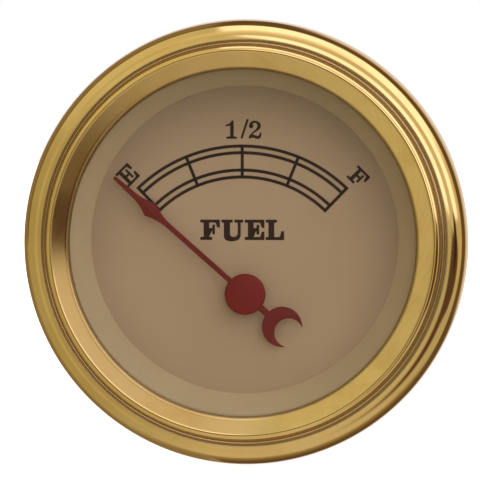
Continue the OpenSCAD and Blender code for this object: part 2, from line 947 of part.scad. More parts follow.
// Inside of the case
module case_hollow() {
    inner_corner = case_corner_r - case_wall;
    translate([-1, case_floor_z + inner_corner])
        square([case_inner_r + 1, flange_front_z - case_floor_z - inner_corner + 1]);
    translate([-1, case_floor_z])
        square([case_inner_r - inner_corner + 1, inner_corner + eps]);
    translate([case_inner_r - inner_corner, case_floor_z + inner_corner])
        circle(inner_corner);
}

module case() {
    color("lightgray")
        stand_up()
            difference() {
                turn()
                    intersection() {
                        difference() {
                            case_outline();
                            case_hollow();
                        }
                        translate([0, case_back_z - 1])
                            square([flange_r + 1, flange_front_z - case_back_z + 2]);
                    }
                for (at = insulated)
                    translate([at[0], at[1], 0])
                        bar(spigot_r + seat_gap, case_floor_z + 1, case_back_z - 1);
                translate([ground_at[0], ground_at[1], 0])
                    bar(pitch_r + hole_gap, case_floor_z + 1, case_back_z - 1);
                for (side = [-1, 1])
                    translate([0, side * clamp_stud_at, 0])
                        bar(stud_r + seat_gap, case_floor_z + 1, case_back_z - 1);
                translate([lamp_at[0], lamp_at[1], 0]) {
                    bar(lamp_hole_r, case_floor_z + 1, case_back_z - 1);
                    translate([0, 0, (case_floor_z + case_back_z) / 2])
                        cube([2 * (lug_r + hole_gap), lug_w + 2 * hole_gap, case_wall + 2],
                            center = true);
                }
            }
}

// Terminal stud with its head on the board's front
module terminal_stud(at) {
    stand_up()
        translate([at[0], at[1], 0]) {
            hexagon_bar(stud_head_af, board_front_z, board_front_z + stud_head_thick);
            bar(pitch_r, board_front_z + eps, free_z);
            bar(stud_r, free_z, stud_end_z + stud_point);
            translate([0, 0, stud_end_z])
                cylinder(r1 = stud_r - stud_point, r2 = stud_r, h = stud_point);
        }
}

module terminal_stud_ignition() {
    color("gold")
        terminal_stud(ignition_at);
}

module terminal_stud_sender() {
    color("gold")
        terminal_stud(sender_at);
}

module terminal_stud_ground() {
    color("gold")
        terminal_stud(ground_at);
}

module terminal_bushes() {
    color("saddlebrown")
        stand_up()
            for (at = insulated)
                translate([at[0], at[1], 0])
                    difference() {
                        union() {
                            bar(bush_outer_r, board_back_z, case_floor_z);
                            bar(spigot_r, case_floor_z + eps, case_back_z);
                        }
                        bar(pitch_r + seat_gap, board_back_z + 1, case_back_z - 1);
                    }
}

module ground_spacer() {
    color("silver")
        stand_up()
            translate([ground_at[0], ground_at[1], 0])
                pipe(stud_base_r, pitch_r + seat_gap, board_back_z, case_floor_z);
}

module terminal_insulators() {
    color("saddlebrown")
        stand_up()
            for (at = insulated)
                translate([at[0], at[1], 0])
                    pipe(insulator_r, pitch_r + seat_gap, case_back_z, fixing_nut_z);
}

module ground_washer() {
    color("silver")
        stand_up()
            translate([ground_at[0], ground_at[1], 0])
                pipe(insulator_r, pitch_r + seat_gap, case_back_z, fixing_nut_z);
}

module terminal_fixing_nuts() {
    color("gold")
        stand_up()
            for (at = terminals)
                translate([at[0], at[1], 0])
                    hexagon_nut(fixing_nut_z);
}

module terminal_lock_washers() {
    color("silver")
        stand_up()
            for (at = terminals)
                translate([at[0], at[1], 0])
                    split_washer(nut_af / 2 - 0.4, pitch_r + seat_gap, lock_z, lock_thick);
}

module terminal_wire_nuts() {
    color("gold")
        stand_up()
            for (at = terminals)
                translate([at[0], at[1], 0])
                    rotate([0, 0, 12])
                        hexagon_nut(wire_nut_z);
}

// Moves a drawing to the lamp's axis
module at_lamp() {
    translate([lamp_at[0], lamp_at[1], 0])
        children();
}

module lamp_socket() {
    color("dimgray")
        stand_up()
            at_lamp()
                difference() {
                    union() {
                        bar(socket_r, socket_front_z, grip_z);
                        bar(socket_flange_r, case_back_z, grip_z);
                        bar(socket_r, grip_z + eps, grip_back_z);
                        rotate([0, 0, lug_turn])
                            intersection() {
                                bar(lug_r, case_floor_z + lug_thick, case_floor_z + 0.05);
                                translate([0, 0, case_floor_z])
                                    cube([4 * lug_r, lug_w, 4 * lug_thick], center = true);
                            }
                    }
                    for (i = [0 : 7])
                        rotate([0, 0, 45 * i + 22.5])
                            translate([socket_r + 0.5, 0, 0])
                                bar(1.3, grip_z - 0.8, grip_back_z - 1);
                    translate([0, 0, socket_front_z - wedge_len / 2 + 0.5])
                        cube([wedge_w + 2 * seat_gap, wedge_thick + 2 * seat_gap, wedge_len + 1.2],
                            center = true);
                }
}

module lamp_bulb() {
    top_z = bulb_base_z + bulb_len;
    color("lightcyan", 0.5)
        stand_up()
            at_lamp() {
                difference() {
                    union() {
                        bar(bulb_r, bulb_base_z, top_z - bulb_r);
                        translate([0, 0, top_z - bulb_r])
                            sphere(bulb_r);
                    }
                    bar(bulb_r - glass_wall, bulb_base_z + 1.5, top_z - bulb_r);
                    translate([0, 0, top_z - bulb_r])
                        sphere(bulb_r - glass_wall);
                }
                translate([0, 0, bulb_base_z - wedge_len / 2 + eps])
                    cube([wedge_w, wedge_thick, wedge_len], center = true);
            }
}

module lamp_filament() {
    wire_r = 0.18;
    top_z = bulb_base_z + 8;
    color("silver")
        stand_up()
            at_lamp() {
                for (side = [-1, 1])
                    translate([side * 1.8, 0, 0])
                        bar(wire_r, bulb_base_z + 1.5, top_z);
                translate([0, 0, top_z])
                    rotate([0, 90, 0])
                        cylinder(r = 0.3, h = 4.2, center = true);
            }
}

module lamp_tabs() {
    color("gold")
        stand_up()
            at_lamp()
                for (side = [-1, 1])
                    translate([0, side * tab_y, grip_back_z - tab_len / 2])
                        difference() {
                            cube([tab_w, tab_thick, tab_len], center = true);
                            translate([0, 0, -tab_len / 2 + tab_hole_at])
                                rotate([90, 0, 0])
                                    cylinder(r = tab_hole_r, h = tab_thick + 1, center = true);
                        }
}

// Side view of the strap in the x and y plane, with y as z
module strap_outline() {
    back = strap_back_z + strap_bend_r;
    inner_bend = strap_bend_r - strap_thick;
    difference() {
        union() {
            translate([-leg_outer, back])
                square([2 * leg_outer, -panel_thick - back]);
            translate([-leg_outer + strap_bend_r, strap_back_z])
                square([2 * (leg_outer - strap_bend_r), strap_bend_r + eps]);
            for (side = [-1, 1])
                translate([side * (leg_outer - strap_bend_r), back])
                    circle(strap_bend_r);
        }
        translate([-leg_inner, back])
            square([2 * leg_inner, -panel_thick - back + 1]);
        translate([-leg_inner + inner_bend, strap_front_z])
            square([2 * (leg_inner - inner_bend), inner_bend + 1]);
        for (side = [-1, 1])
            translate([side * (leg_inner - inner_bend), back])
                circle(inner_bend);
    }
}

module clamp_bracket() {
    color("silver")
        stand_up()
            difference() {
                rotate([0, 0, 90])
                    rotate([90, 0, 0])
                        translate([0, 0, -strap_w / 2])
                            linear_extrude(strap_w)
                                strap_outline();
                for (side = [-1, 1])
                    translate([0, side * clamp_stud_at, 0])
                        bar(strap_hole_r, strap_front_z + 1, strap_back_z - 1);
                for (x = [-1, 1], y = [-1, 1])
                    translate([x * strap_w / 2, y * leg_outer, -panel_thick])
                        rotate([0, 45, 0])
                            cube([2, 2 * strap_thick + 2, 2], center = true);
            }
}

module clamp_studs() {
    color("silver")
        stand_up()
            for (side = [-1, 1])
                translate([0, side * clamp_stud_at, 0]) {
                    bar(stud_base_r, case_floor_z, case_floor_z + stud_base_thick);
                    bar(stud_r, case_floor_z + eps, clamp_stud_z + stud_point);
                    translate([0, 0, clamp_stud_z])
                        cylinder(r1 = stud_r - stud_point, r2 = stud_r, h = stud_point);
                }
}

module clamp_washers() {
    color("silver")
        stand_up()
            for (side = [-1, 1])
                translate([0, side * clamp_stud_at, 0])
                    split_washer(clamp_washer_r, strap_hole_r - 0.2, strap_back_z,
                        clamp_washer_thick);
}

// Fluted thumb nut on a clamp stud above or below the axis
module thumb_nut(side) {
    neck = 0.8;
    stand_up()
        translate([0, side * clamp_stud_at, 0])
            difference() {
                turn()
                    polygon([
                        [0, thumb_front_z], [thumb_r - neck, thumb_front_z],
                        [thumb_r - neck, thumb_front_z - neck], [thumb_r - 0.3, thumb_front_z - neck],
                        [thumb_r, thumb_front_z - neck - 0.3],
                        [thumb_r, thumb_front_z - thumb_thick + 0.4],
                        [thumb_r - 0.4, thumb_front_z - thumb_thick],
                        [0, thumb_front_z - thumb_thick]
                    ]);
                bar(stud_r + run_gap, thumb_front_z + 1, thumb_front_z - thumb_thick - 1);
                for (i = [0 : thumb_flutes - 1])
                    rotate([0, 0, 360 * i / thumb_flutes])
                        translate([thumb_r + 0.35, 0, 0])
                            bar(0.8, thumb_front_z - neck, thumb_front_z - thumb_thick - 1);
            }
}

module clamp_nut_upper() {
    color("gold")
        thumb_nut(1);
}

module clamp_nut_lower() {
    color("gold")
        thumb_nut(-1);
}

bezel();
lens();
lens_gasket();
trim_ring();
dial();
dial_carrier();
pointer_blade();
pointer_hub();
spindle();
stop_arm();
rotor_magnet();
spindle_bush();
bobbin_front();
bobbin_rear();
coil_cosine();
coil_sine();
shield_can();
return_magnet();
coil_pins();
movement_spacers();
movement_screws();
circuit_board();
board_screws();
ballast_resistor();
zener_diode();
case();
terminal_stud_ignition();
terminal_stud_sender();
terminal_stud_ground();
terminal_bushes();
ground_spacer();
terminal_insulators();
ground_washer();
terminal_fixing_nuts();
terminal_lock_washers();
terminal_wire_nuts();
lamp_socket();
lamp_bulb();
lamp_filament();
lamp_tabs();
clamp_bracket();
clamp_studs();
clamp_washers();
clamp_nut_upper();
clamp_nut_lower();
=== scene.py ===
import json
import math
from collections import namedtuple
from functools import reduce

import bmesh
import bpy
from mathutils import Matrix, Vector


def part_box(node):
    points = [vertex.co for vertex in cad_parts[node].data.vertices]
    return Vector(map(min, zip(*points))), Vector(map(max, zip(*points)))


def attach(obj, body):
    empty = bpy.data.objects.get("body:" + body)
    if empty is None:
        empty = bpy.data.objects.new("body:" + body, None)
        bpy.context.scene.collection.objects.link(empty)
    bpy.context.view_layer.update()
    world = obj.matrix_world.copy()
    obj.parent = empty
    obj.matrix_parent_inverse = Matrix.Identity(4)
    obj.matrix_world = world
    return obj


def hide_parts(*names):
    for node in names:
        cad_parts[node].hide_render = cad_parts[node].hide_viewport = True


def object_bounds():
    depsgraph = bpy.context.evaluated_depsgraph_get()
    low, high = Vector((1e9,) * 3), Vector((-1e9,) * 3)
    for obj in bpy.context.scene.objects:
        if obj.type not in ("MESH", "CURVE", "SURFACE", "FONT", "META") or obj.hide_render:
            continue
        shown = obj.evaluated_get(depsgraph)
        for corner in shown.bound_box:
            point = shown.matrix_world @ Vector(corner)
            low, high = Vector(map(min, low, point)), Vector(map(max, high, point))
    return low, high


# Round dashboard fuel gauge. Sections are drawn lying down, in millimetres: x to the right,
# y towards 12 o'clock, z towards the driver. STAND turns them to the frame, in metres.

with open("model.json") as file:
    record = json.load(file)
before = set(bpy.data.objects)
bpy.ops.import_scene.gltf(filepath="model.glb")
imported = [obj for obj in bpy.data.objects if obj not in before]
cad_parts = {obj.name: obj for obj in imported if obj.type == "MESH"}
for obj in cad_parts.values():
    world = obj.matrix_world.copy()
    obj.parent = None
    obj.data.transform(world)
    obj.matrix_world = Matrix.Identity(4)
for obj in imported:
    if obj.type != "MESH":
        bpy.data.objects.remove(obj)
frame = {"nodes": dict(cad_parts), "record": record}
cad_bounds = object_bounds()

MM = 0.001
STAND = Matrix.Scale(MM, 4) @ Matrix.Rotation(math.radians(90), 4, "X")
SEGMENTS = 256
SHARP = math.radians(32)

RECORD = frame["record"]
NODE_SLOT = {entry["node"]: entry["material_slot"] for entry in RECORD["subparts"]}
NODE_BODY = {node: body for body, members in RECORD["behaviour"]["bodies"].items() for node in members}
TERMINALS = ("terminal_stud_ignition", "terminal_stud_sender", "terminal_stud_ground")
CLAMP_NUTS = ("clamp_nut_upper", "clamp_nut_lower")

Span = namedtuple("Span", "left right low high back front")


def span(node):
    """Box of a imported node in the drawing's millimetres."""
    low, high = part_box(node)
    return Span(low[0] / MM, high[0] / MM, low[2] / MM, high[2] / MM, -high[1] / MM, -low[1] / MM)


def middle(node):
    """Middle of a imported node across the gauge's axis."""
    box = span(node)
    return (box.left + box.right) / 2, (box.low + box.high) / 2


# Node trees

def add(tree, kind, inputs=None, **settings):
    """Adds a node, sets its settings and fills its inputs with values or links."""
    node = tree.nodes.new(kind)
    for key, value in settings.items():
        setattr(node, key, value)
    for key, value in (inputs or {}).items():
        if isinstance(value, bpy.types.NodeSocket):
            tree.links.new(value, node.inputs[key])
        else:
            node.inputs[key].default_value = value
    return node


def tree_of(values):
    """Node tree that the first linked one of some values belongs to."""
    return next(value.id_data for value in values if isinstance(value, bpy.types.NodeSocket))


def calc(operation, *values, clamp=False):
    """Output of a Math node."""
    return add(tree_of(values), "ShaderNodeMath", dict(enumerate(values)),
               operation=operation, use_clamp=clamp).outputs[0]


def plus(first, second):
    """Sum of two values."""
    return calc("ADD", first, second)


def less(first, second):
    """First value less the second."""
    return calc("SUBTRACT", first, second)


def times(*values):
    """Product of two or more values."""
    return reduce(lambda first, second: calc("MULTIPLY", first, second), values)


def over(first, second):
    """First value divided by the second."""
    return calc("DIVIDE", first, second)


def turned(radius, angle):
    """Radius times the cosine and times the sine of an angle."""
    return times(radius, calc("COSINE", angle)), times(radius, calc("SINE", angle))


def vector(x=0.0, y=0.0, z=0.0):
    """Vector of three values."""
    return add(tree_of((x, y, z)), "ShaderNodeCombineXYZ", {0: x, 1: y, 2: z}).outputs[0]


def parts(place):
    """The x, y and z of a vector."""
    return add(place.id_data, "ShaderNodeSeparateXYZ", {0: place}).outputs


def vector_calc(operation, *values):
    """Vector output of a Vector Math node."""
    return add(tree_of(values), "ShaderNodeVectorMath", dict(enumerate(values)),
               operation=operation).outputs[0]


def distance_across(place):
    """Length of a vector seen along the gauge's axis, which is y in the frame."""
    flat = vector_calc("MULTIPLY", place, (1, 0, 1))
    return add(place.id_data, "ShaderNodeVectorMath", {0: flat}, operation="LENGTH").outputs["Value"]


def remap(value, low, high, to_low=0.0, to_high=1.0):
    """Smooth step from one range to another."""
    return add(value.id_data, "ShaderNodeMapRange", {0: value, 1: low, 2: high, 3: to_low, 4: to_high},
               interpolation_type="SMOOTHSTEP").outputs[0]


def step_mm(value, start, end):
    """Smooth step from 0 to 1 between two sizes in millimetres."""
    return remap(value, start * MM, end * MM)


def layered(colour, *layers):
    """Colour under layers (share, colour), each laid over those before it."""
    for share, layer in layers:
        mix = add(share.id_data, "ShaderNodeMix", {0: share, 6: colour, 7: layer}, data_type="RGBA")
        colour = mix.outputs[2]
    return colour


def here(tree):
    """Place of the shaded point in its object's metres."""
    return add(tree, "ShaderNodeTexCoord").outputs["Object"]


def noise(place, scale, detail, **settings):
    """Value of a noise texture."""
    inputs = {"Vector": place, "Scale": scale, "Detail": detail}
    return add(place.id_data, "ShaderNodeTexNoise", inputs, **settings).outputs[0]


def feed(sockets, **values):
    """Links values to sockets by their names."""
    for key, value in values.items():
        socket = sockets[key.replace("_", " ")]
        socket.id_data.links.new(value, socket)


SOCKET_KINDS = {float: "NodeSocketFloat", int: "NodeSocketInt"}


def new_group(name, inputs, outputs, makes_mesh=False):
    """Empty node group with named sockets, each input given by its default or its kind."""
    group = bpy.data.node_groups.new(name, "GeometryNodeTree" if makes_mesh else "ShaderNodeTree")
    for label, value in inputs.items():
        kind = SOCKET_KINDS.get(type(value), value)
        socket = group.interface.new_socket(name=label, in_out="INPUT", socket_type=kind)
        if kind != value:
            socket.default_value = value
    for label in outputs:
        kind = "NodeSocketGeometry" if makes_mesh else "NodeSocketFloat"
        group.interface.new_socket(name=label, in_out="OUTPUT", socket_type=kind)
    return group, group.nodes.new("NodeGroupInput").outputs, group.nodes.new("NodeGroupOutput").inputs


def use_group(tree, group, **inputs):
    """Places a node group in a tree with its own values, and gives its outputs."""
    return add(tree, "ShaderNodeGroup", {key.replace("_", " "): value for key, value in inputs.items()},
               node_tree=group).outputs


# Groups for finishes

def make_round_axis():
    """Place of a point about the gauge's axis: its radius, its clock angle and its height."""
    group, _, result = new_group("Round the axis", {}, ["Radius", "Clock", "Height"])
    place = here(group)
    x, y, z = parts(place)
    feed(result, Radius=distance_across(place), Clock=calc("ARCTAN2", x, z), Height=times(y, -1.0))
    return group


ROUND_AXIS = make_round_axis()


def make_spun_lines():
    """Fine rings round the gauge's axis, as a spinning tool leaves them."""
    group, given, result = new_group("Spun lines", {"Lines": 9000.0, "Drift": 3.0}, ["Height"])
    about = use_group(group, ROUND_AXIS)
    across = times(less(about["Radius"], about["Height"]), given["Lines"])
    along = times(about["Clock"], given["Drift"])
    feed(result, Height=noise(vector(across, along), 1.0, 3.0, noise_dimensions="2D"))
    return group


def make_wipe_marks():
    """Faint slanting marks across the funnel, as a polishing cloth leaves them."""
    per_metre = 500.0
    group, given, result = new_group("Wipe marks", {"Marks": 26.0, "Slant": 90.0}, ["Fac"])
    about = use_group(group, ROUND_AXIS)
    slanted = plus(about["Clock"], times(about["Radius"], given["Slant"]))
    spot = vector(times(slanted, given["Marks"]), times(about["Radius"], per_metre))
    feed(result, Fac=noise(spot, 1.0, 4.0, noise_dimensions="2D"))
    return group


def make_mottle():
    """Soft cloudy patches with finer grain in them."""
    group, given, result = new_group("Mottle", {"Size": 250.0, "Grain": 4000.0, "Grain share": 0.3}, ["Fac"])
    place = here(group)
    cloud, grain = noise(place, given["Size"], 3.0), noise(place, given["Grain"], 2.0)
    feed(result, Fac=add(group, "ShaderNodeMix", {0: given["Grain share"], 2: cloud, 3: grain}).outputs[0])
    return group


def make_specks():
    """Sparse small dots of dust or pits."""
    group, given, result = new_group("Specks", {"Density": 600.0, "Spread": 0.08}, ["Mask"])
    cells = add(group, "ShaderNodeTexVoronoi", {"Vector": here(group), "Scale": given["Density"]}).outputs
    size = times(add(group, "ShaderNodeSeparateColor", {0: cells["Color"]}).outputs[0], given["Spread"])
    feed(result, Mask=remap(cells["Distance"], size, times(size, 0.6)))
    return group


def make_scuffs():
    """Hair scratches that run in two directions."""
    group, given, result = new_group("Scuffs", {"Scale": 500.0, "Amount": 0.3}, ["Mask"])
    masks = []
    for turn, stretch in (((0.3, 0.8, 0.2), (1, 14, 14)), ((1.1, -0.5, 0.9), (12, 1, 12))):
        values = {"Vector": here(group), "Rotation": turn, "Scale": stretch}
        place = add(group, "ShaderNodeMapping", values).outputs[0]
        masks.append(remap(noise(place, given["Scale"], 1.0), 0.66, 0.74))
    feed(result, Mask=times(calc("MAXIMUM", *masks), given["Amount"]))
    return group


def make_edge_wear():
    """Worn convex edges, broken up by noise."""
    group, given, result = new_group("Edge wear", {"Reach": 0.06, "Breakup": 900.0}, ["Mask"])
    edge = less(add(group, "ShaderNodeNewGeometry").outputs["Pointiness"], 0.5)
    uneven = times(less(noise(here(group), given["Breakup"], 3.0), 0.5), 0.06)
    feed(result, Mask=remap(plus(edge, uneven), 0.02, given["Reach"]))
    return group


SPUN = make_spun_lines()
WIPED = make_wipe_marks()
MOTTLE = make_mottle()
SPECKS = make_specks()
SCUFFS = make_scuffs()
EDGES = make_edge_wear()


def mottled(tree, size, grain, grain_share):
    """Clouds of a size with grain in them."""
    return use_group(tree, MOTTLE, Size=size, Grain=grain, Grain_share=grain_share)[0]


def specks(tree, density, spread):
    """Mask of small dots."""
    return use_group(tree, SPECKS, Density=density, Spread=spread)[0]


# Finishes

def rgb(red, green, blue):
    """Opaque colour."""
    return red, green, blue, 1.0


def shade(colour, factor):
    """Colour made darker or lighter by a factor."""
    return rgb(*(min(1.0, part * factor) for part in colour[:3]))


def new_material(name, **fixed):
    """Material with one Principled shader, whose plain values are set on it."""
    material = bpy.data.materials.new(name)
    material.use_nodes = True
    shader = material.node_tree.nodes["Principled BSDF"]
    for key, value in fixed.items():
        shader.inputs[key.replace("_", " ")].default_value = value
    return material, material.node_tree, shader


def around(value, spread):
    """Range that lies evenly about a value."""
    return value - spread, value + spread


def bump(shader, height, relief):
    """Small relief, in millimetres, on the shader's normal."""
    node = add(shader.id_data, "ShaderNodeBump", {"Height": height, "Distance": relief * MM})
    feed(shader.inputs, Normal=node.outputs[0])


# The spun ring's inner part sits this far off the middle, to the left, and less so towards its groove
INNER_SHIFT = 0.2
SHIFT_START, SHIFT_END = 27.25, 26.15

# Where the spun ring's colour changes, painted shade and painted sheen among it: radii and heights from the
# panel, and how wide each change is
FUNNEL_EDGE, FUNNEL_BLUR = 25.6, 0.1
GROOVE_INSIDE, GROOVE_OUTSIDE = (26.42, 26.48), (27.4, 27.25)
GROOVE_TOP, GROOVE_BLUR = 4.15, 0.08
LIP_FOOT, LIP_BLUR, LIP_INSIDE = 4.48, 0.25, (24.05, 23.85)
# the clock angle where the funnel's painted sheen is lightest
FUNNEL_SHEEN_CLOCK = math.radians(100)


def polished_gold():
    """Spun brass with a bright gold finish; the funnel is duller and wiped, with a painted sheen on one side;
    painted shade darkens the groove floor and the lip's foot.
    """
    material, tree, shader = new_material("Polished gold", Metallic=1.0)
    cloud = mottled(tree, 160.0, 900.0, 0.25)
    lines = use_group(tree, SPUN, Lines=9000.0, Drift=3.0)[0]
    wiped = use_group(tree, WIPED, Marks=26.0, Slant=90.0)[0]
    about = use_group(tree, ROUND_AXIS)
    shift = remap(about["Radius"], SHIFT_START * MM, SHIFT_END * MM, 0.0, INNER_SHIFT * MM)
    radius = plus(about["Radius"], times(calc("SINE", about["Clock"]), shift))

    funnel = step_mm(radius, FUNNEL_EDGE + FUNNEL_BLUR, FUNNEL_EDGE - FUNNEL_BLUR)
    # painted sheen: the funnel's colour is lighter towards one side, standing in for a reflection
    bright = remap(calc("COSINE", less(about["Clock"], FUNNEL_SHEEN_CLOCK)), -0.8, 0.8)
    funnel_tone_and_sheen = layered(rgb(0.66, 0.457, 0.178), (bright, rgb(1.0, 0.74, 0.29)))
    patches = times(funnel, 0.5, remap(mottled(tree, 150.0, 400.0, 0.1), 0.36, 0.74))
    streaks = times(funnel, remap(wiped, 0.35, 0.75))

    # painted shade: the low part of the grooves and the lip's foot at the glass are darkened
    groove = times(step_mm(radius, *GROOVE_INSIDE), step_mm(radius, *GROOVE_OUTSIDE))
    low = step_mm(about["Height"], GROOVE_TOP, GROOVE_TOP - GROOVE_BLUR)
    foot = times(step_mm(about["Height"], LIP_FOOT, LIP_FOOT - LIP_BLUR), step_mm(radius, *LIP_INSIDE))
    painted_shade = calc("MAXIMUM", times(low, groove), foot)

    colour = layered(
        rgb(0.93, 0.67, 0.25), (remap(cloud, 0.3, 0.75), rgb(0.86, 0.60, 0.20)),
        (times(funnel, 0.9), funnel_tone_and_sheen), (patches, rgb(0.62, 0.40, 0.09)),
        (times(streaks, 0.12), rgb(0.62, 0.42, 0.15)),
        (times(specks(tree, 420.0, 0.05), 0.3), rgb(0.45, 0.28, 0.1)),
        (times(groove, 0.55), rgb(0.70, 0.57, 0.35)), (times(painted_shade, 0.7), rgb(0.24, 0.145, 0.055)))
    rough = plus(remap(cloud, 0.3, 0.8, 0.05, 0.10), times(lines, 0.04))
    rough = plus(rough, times(funnel, remap(wiped, 0.3, 0.7, 0.035, 0.055)))
    feed(shader.inputs, Base_Color=colour, Roughness=plus(rough, times(painted_shade, 0.3)))
    bump(shader, plus(lines, times(wiped, funnel, 0.05)), 0.0012)
    return material


def clear_glass(name, tint, index, clouds, smear, shadow_tint=None):
    """Clear glass with a faint smear; with a shadow tint, light passes straight through it."""
    material, tree, shader = new_material(
        name, Base_Color=tint, IOR=index, Transmission_Weight=1.0, Metallic=0.0)
    feed(shader.inputs, Roughness=remap(mottled(tree, *clouds), *smear))
    if shadow_tint:
        clear = add(tree, "ShaderNodeBsdfTransparent", {"Color": shadow_tint})
        shadow = add(tree, "ShaderNodeLightPath").outputs["Is Shadow Ray"]
        mix = add(tree, "ShaderNodeMixShader", {0: shadow, 1: shader.outputs[0], 2: clear.outputs[0]})
        feed(tree.nodes["Material Output"].inputs, Surface=mix.outputs[0])
    return material


def paint(name, colour, second, roughness, grain=2500.0, gloss=0.5):
    """Sprayed paint or coating with a fine grain and slight clouds."""
    material, tree, shader = new_material(name, Specular_IOR_Level=gloss)
    cloud = mottled(tree, 120.0, grain, 0.35)
    mixed = layered(colour, (remap(cloud, 0.3, 0.7), second),
                    (times(specks(tree, 380.0, 0.04), 0.5), shade(second, 0.45)))
    feed(shader.inputs, Base_Color=mixed, Roughness=remap(cloud, 0.2, 0.8, *around(roughness, 0.06)))
    bump(shader, cloud, 0.004)
    return material


def plated_metal(name, colour, worn, roughness, cloud_size=220.0, lines=False):
    """Plated or bare metal with clouds, hair scratches and worn edges."""
    material, tree, shader = new_material(name, Metallic=1.0)
    cloud = mottled(tree, cloud_size, 2600.0, 0.4)
    scratch = use_group(tree, SCUFFS, Scale=420.0, Amount=0.35)[0]
    edge = use_group(tree, EDGES, Reach=0.06, Breakup=1100.0)[0]
    mixed = layered(colour, (remap(cloud, 0.3, 0.72), shade(colour, 0.78)), (edge, worn),
                    (scratch, shade(worn, 0.9)))
    rough = calc("SUBTRACT", remap(cloud, 0.25, 0.75, roughness - 0.07, roughness + 0.09), times(edge, 0.1),
                 clamp=True)
    feed(shader.inputs, Base_Color=mixed, Roughness=rough)
    height = use_group(tree, SPUN, Lines=5000.0, Drift=2.0)[0] if lines else cloud
    bump(shader, less(height, times(scratch, 0.6)), 0.004)
    return material


def moulded(name, colour, roughness, grain=3200.0):
    """Moulded plastic, rubber or fibre with a fine skin and dust in it."""
    material, tree, shader = new_material(name)
    cloud = mottled(tree, 300.0, grain, 0.6)
    edge = use_group(tree, EDGES, Reach=0.1, Breakup=900.0)[0]
    mixed = layered(colour, (remap(cloud, 0.3, 0.7), shade(colour, 0.75)),
                    (times(edge, 0.35), shade(colour, 1.7)),
                    (times(specks(tree, 900.0, 0.06), 0.3), rgb(0.35, 0.33, 0.3)))
    feed(shader.inputs, Base_Color=mixed, Roughness=remap(cloud, 0.25, 0.75, *around(roughness, 0.08)))
    bump(shader, cloud, 0.008)
    return material


def enamelled_wire(name, colour):
    """Coil of fine lacquered wire: its turns show as close lines, with painted shade darkening the wire between
    them.
    """
    material, tree, shader = new_material(name, Metallic=1.0, Coat_Weight=0.6, Coat_Roughness=0.2)
    bands = {"Vector": here(tree), "Scale": 1500.0, "Distortion": 1.2, "Detail": 1.0}
    turns = add(tree, "ShaderNodeTexWave", bands, bands_direction="DIAGONAL").outputs[1]
    cloud = mottled(tree, 300.0, 2000.0, 0.3)
    # painted shade: the wire is darker between its turns
    mixed = layered(shade(colour, 0.35), (turns, colour), (times(cloud, 0.5), shade(colour, 0.6)))
    feed(shader.inputs, Base_Color=mixed, Roughness=remap(cloud, 0.2, 0.8, 0.28, 0.42))
    bump(shader, turns, 0.03)
    return material


def dial_paint_with_painted_shade(name, colour, second, edge, roughness):
    """Dial paint with painted shade: darker softly towards the rim, about a point a little below the middle."""
    centre, pale_r, dark_r = (-0.5 * MM, 0.0, -2.5 * MM), 14.0, 25.0
    material, tree, shader = new_material(name, Specular_IOR_Level=0.3)
    cloud = mottled(tree, 110.0, 5200.0, 0.5)
    away = distance_across(vector_calc("SUBTRACT", here(tree), centre))
    # painted shade: the edge colour darkens the paint softly towards the rim
    mixed = layered(colour, (remap(cloud, 0.3, 0.7), second), (step_mm(away, pale_r, dark_r), edge))
    feed(shader.inputs, Base_Color=mixed, Roughness=remap(cloud, 0.2, 0.8, *around(roughness, 0.06)))
    bump(shader, cloud, 0.004)
    return material


INK = paint("Printed ink", rgb(0.030, 0.014, 0.009), rgb(0.016, 0.008, 0.005), 0.5, grain=5000.0, gloss=0.15)
ZINC = plated_metal("Zinc plate", rgb(0.60, 0.61, 0.60), rgb(0.78, 0.78, 0.76), 0.36)

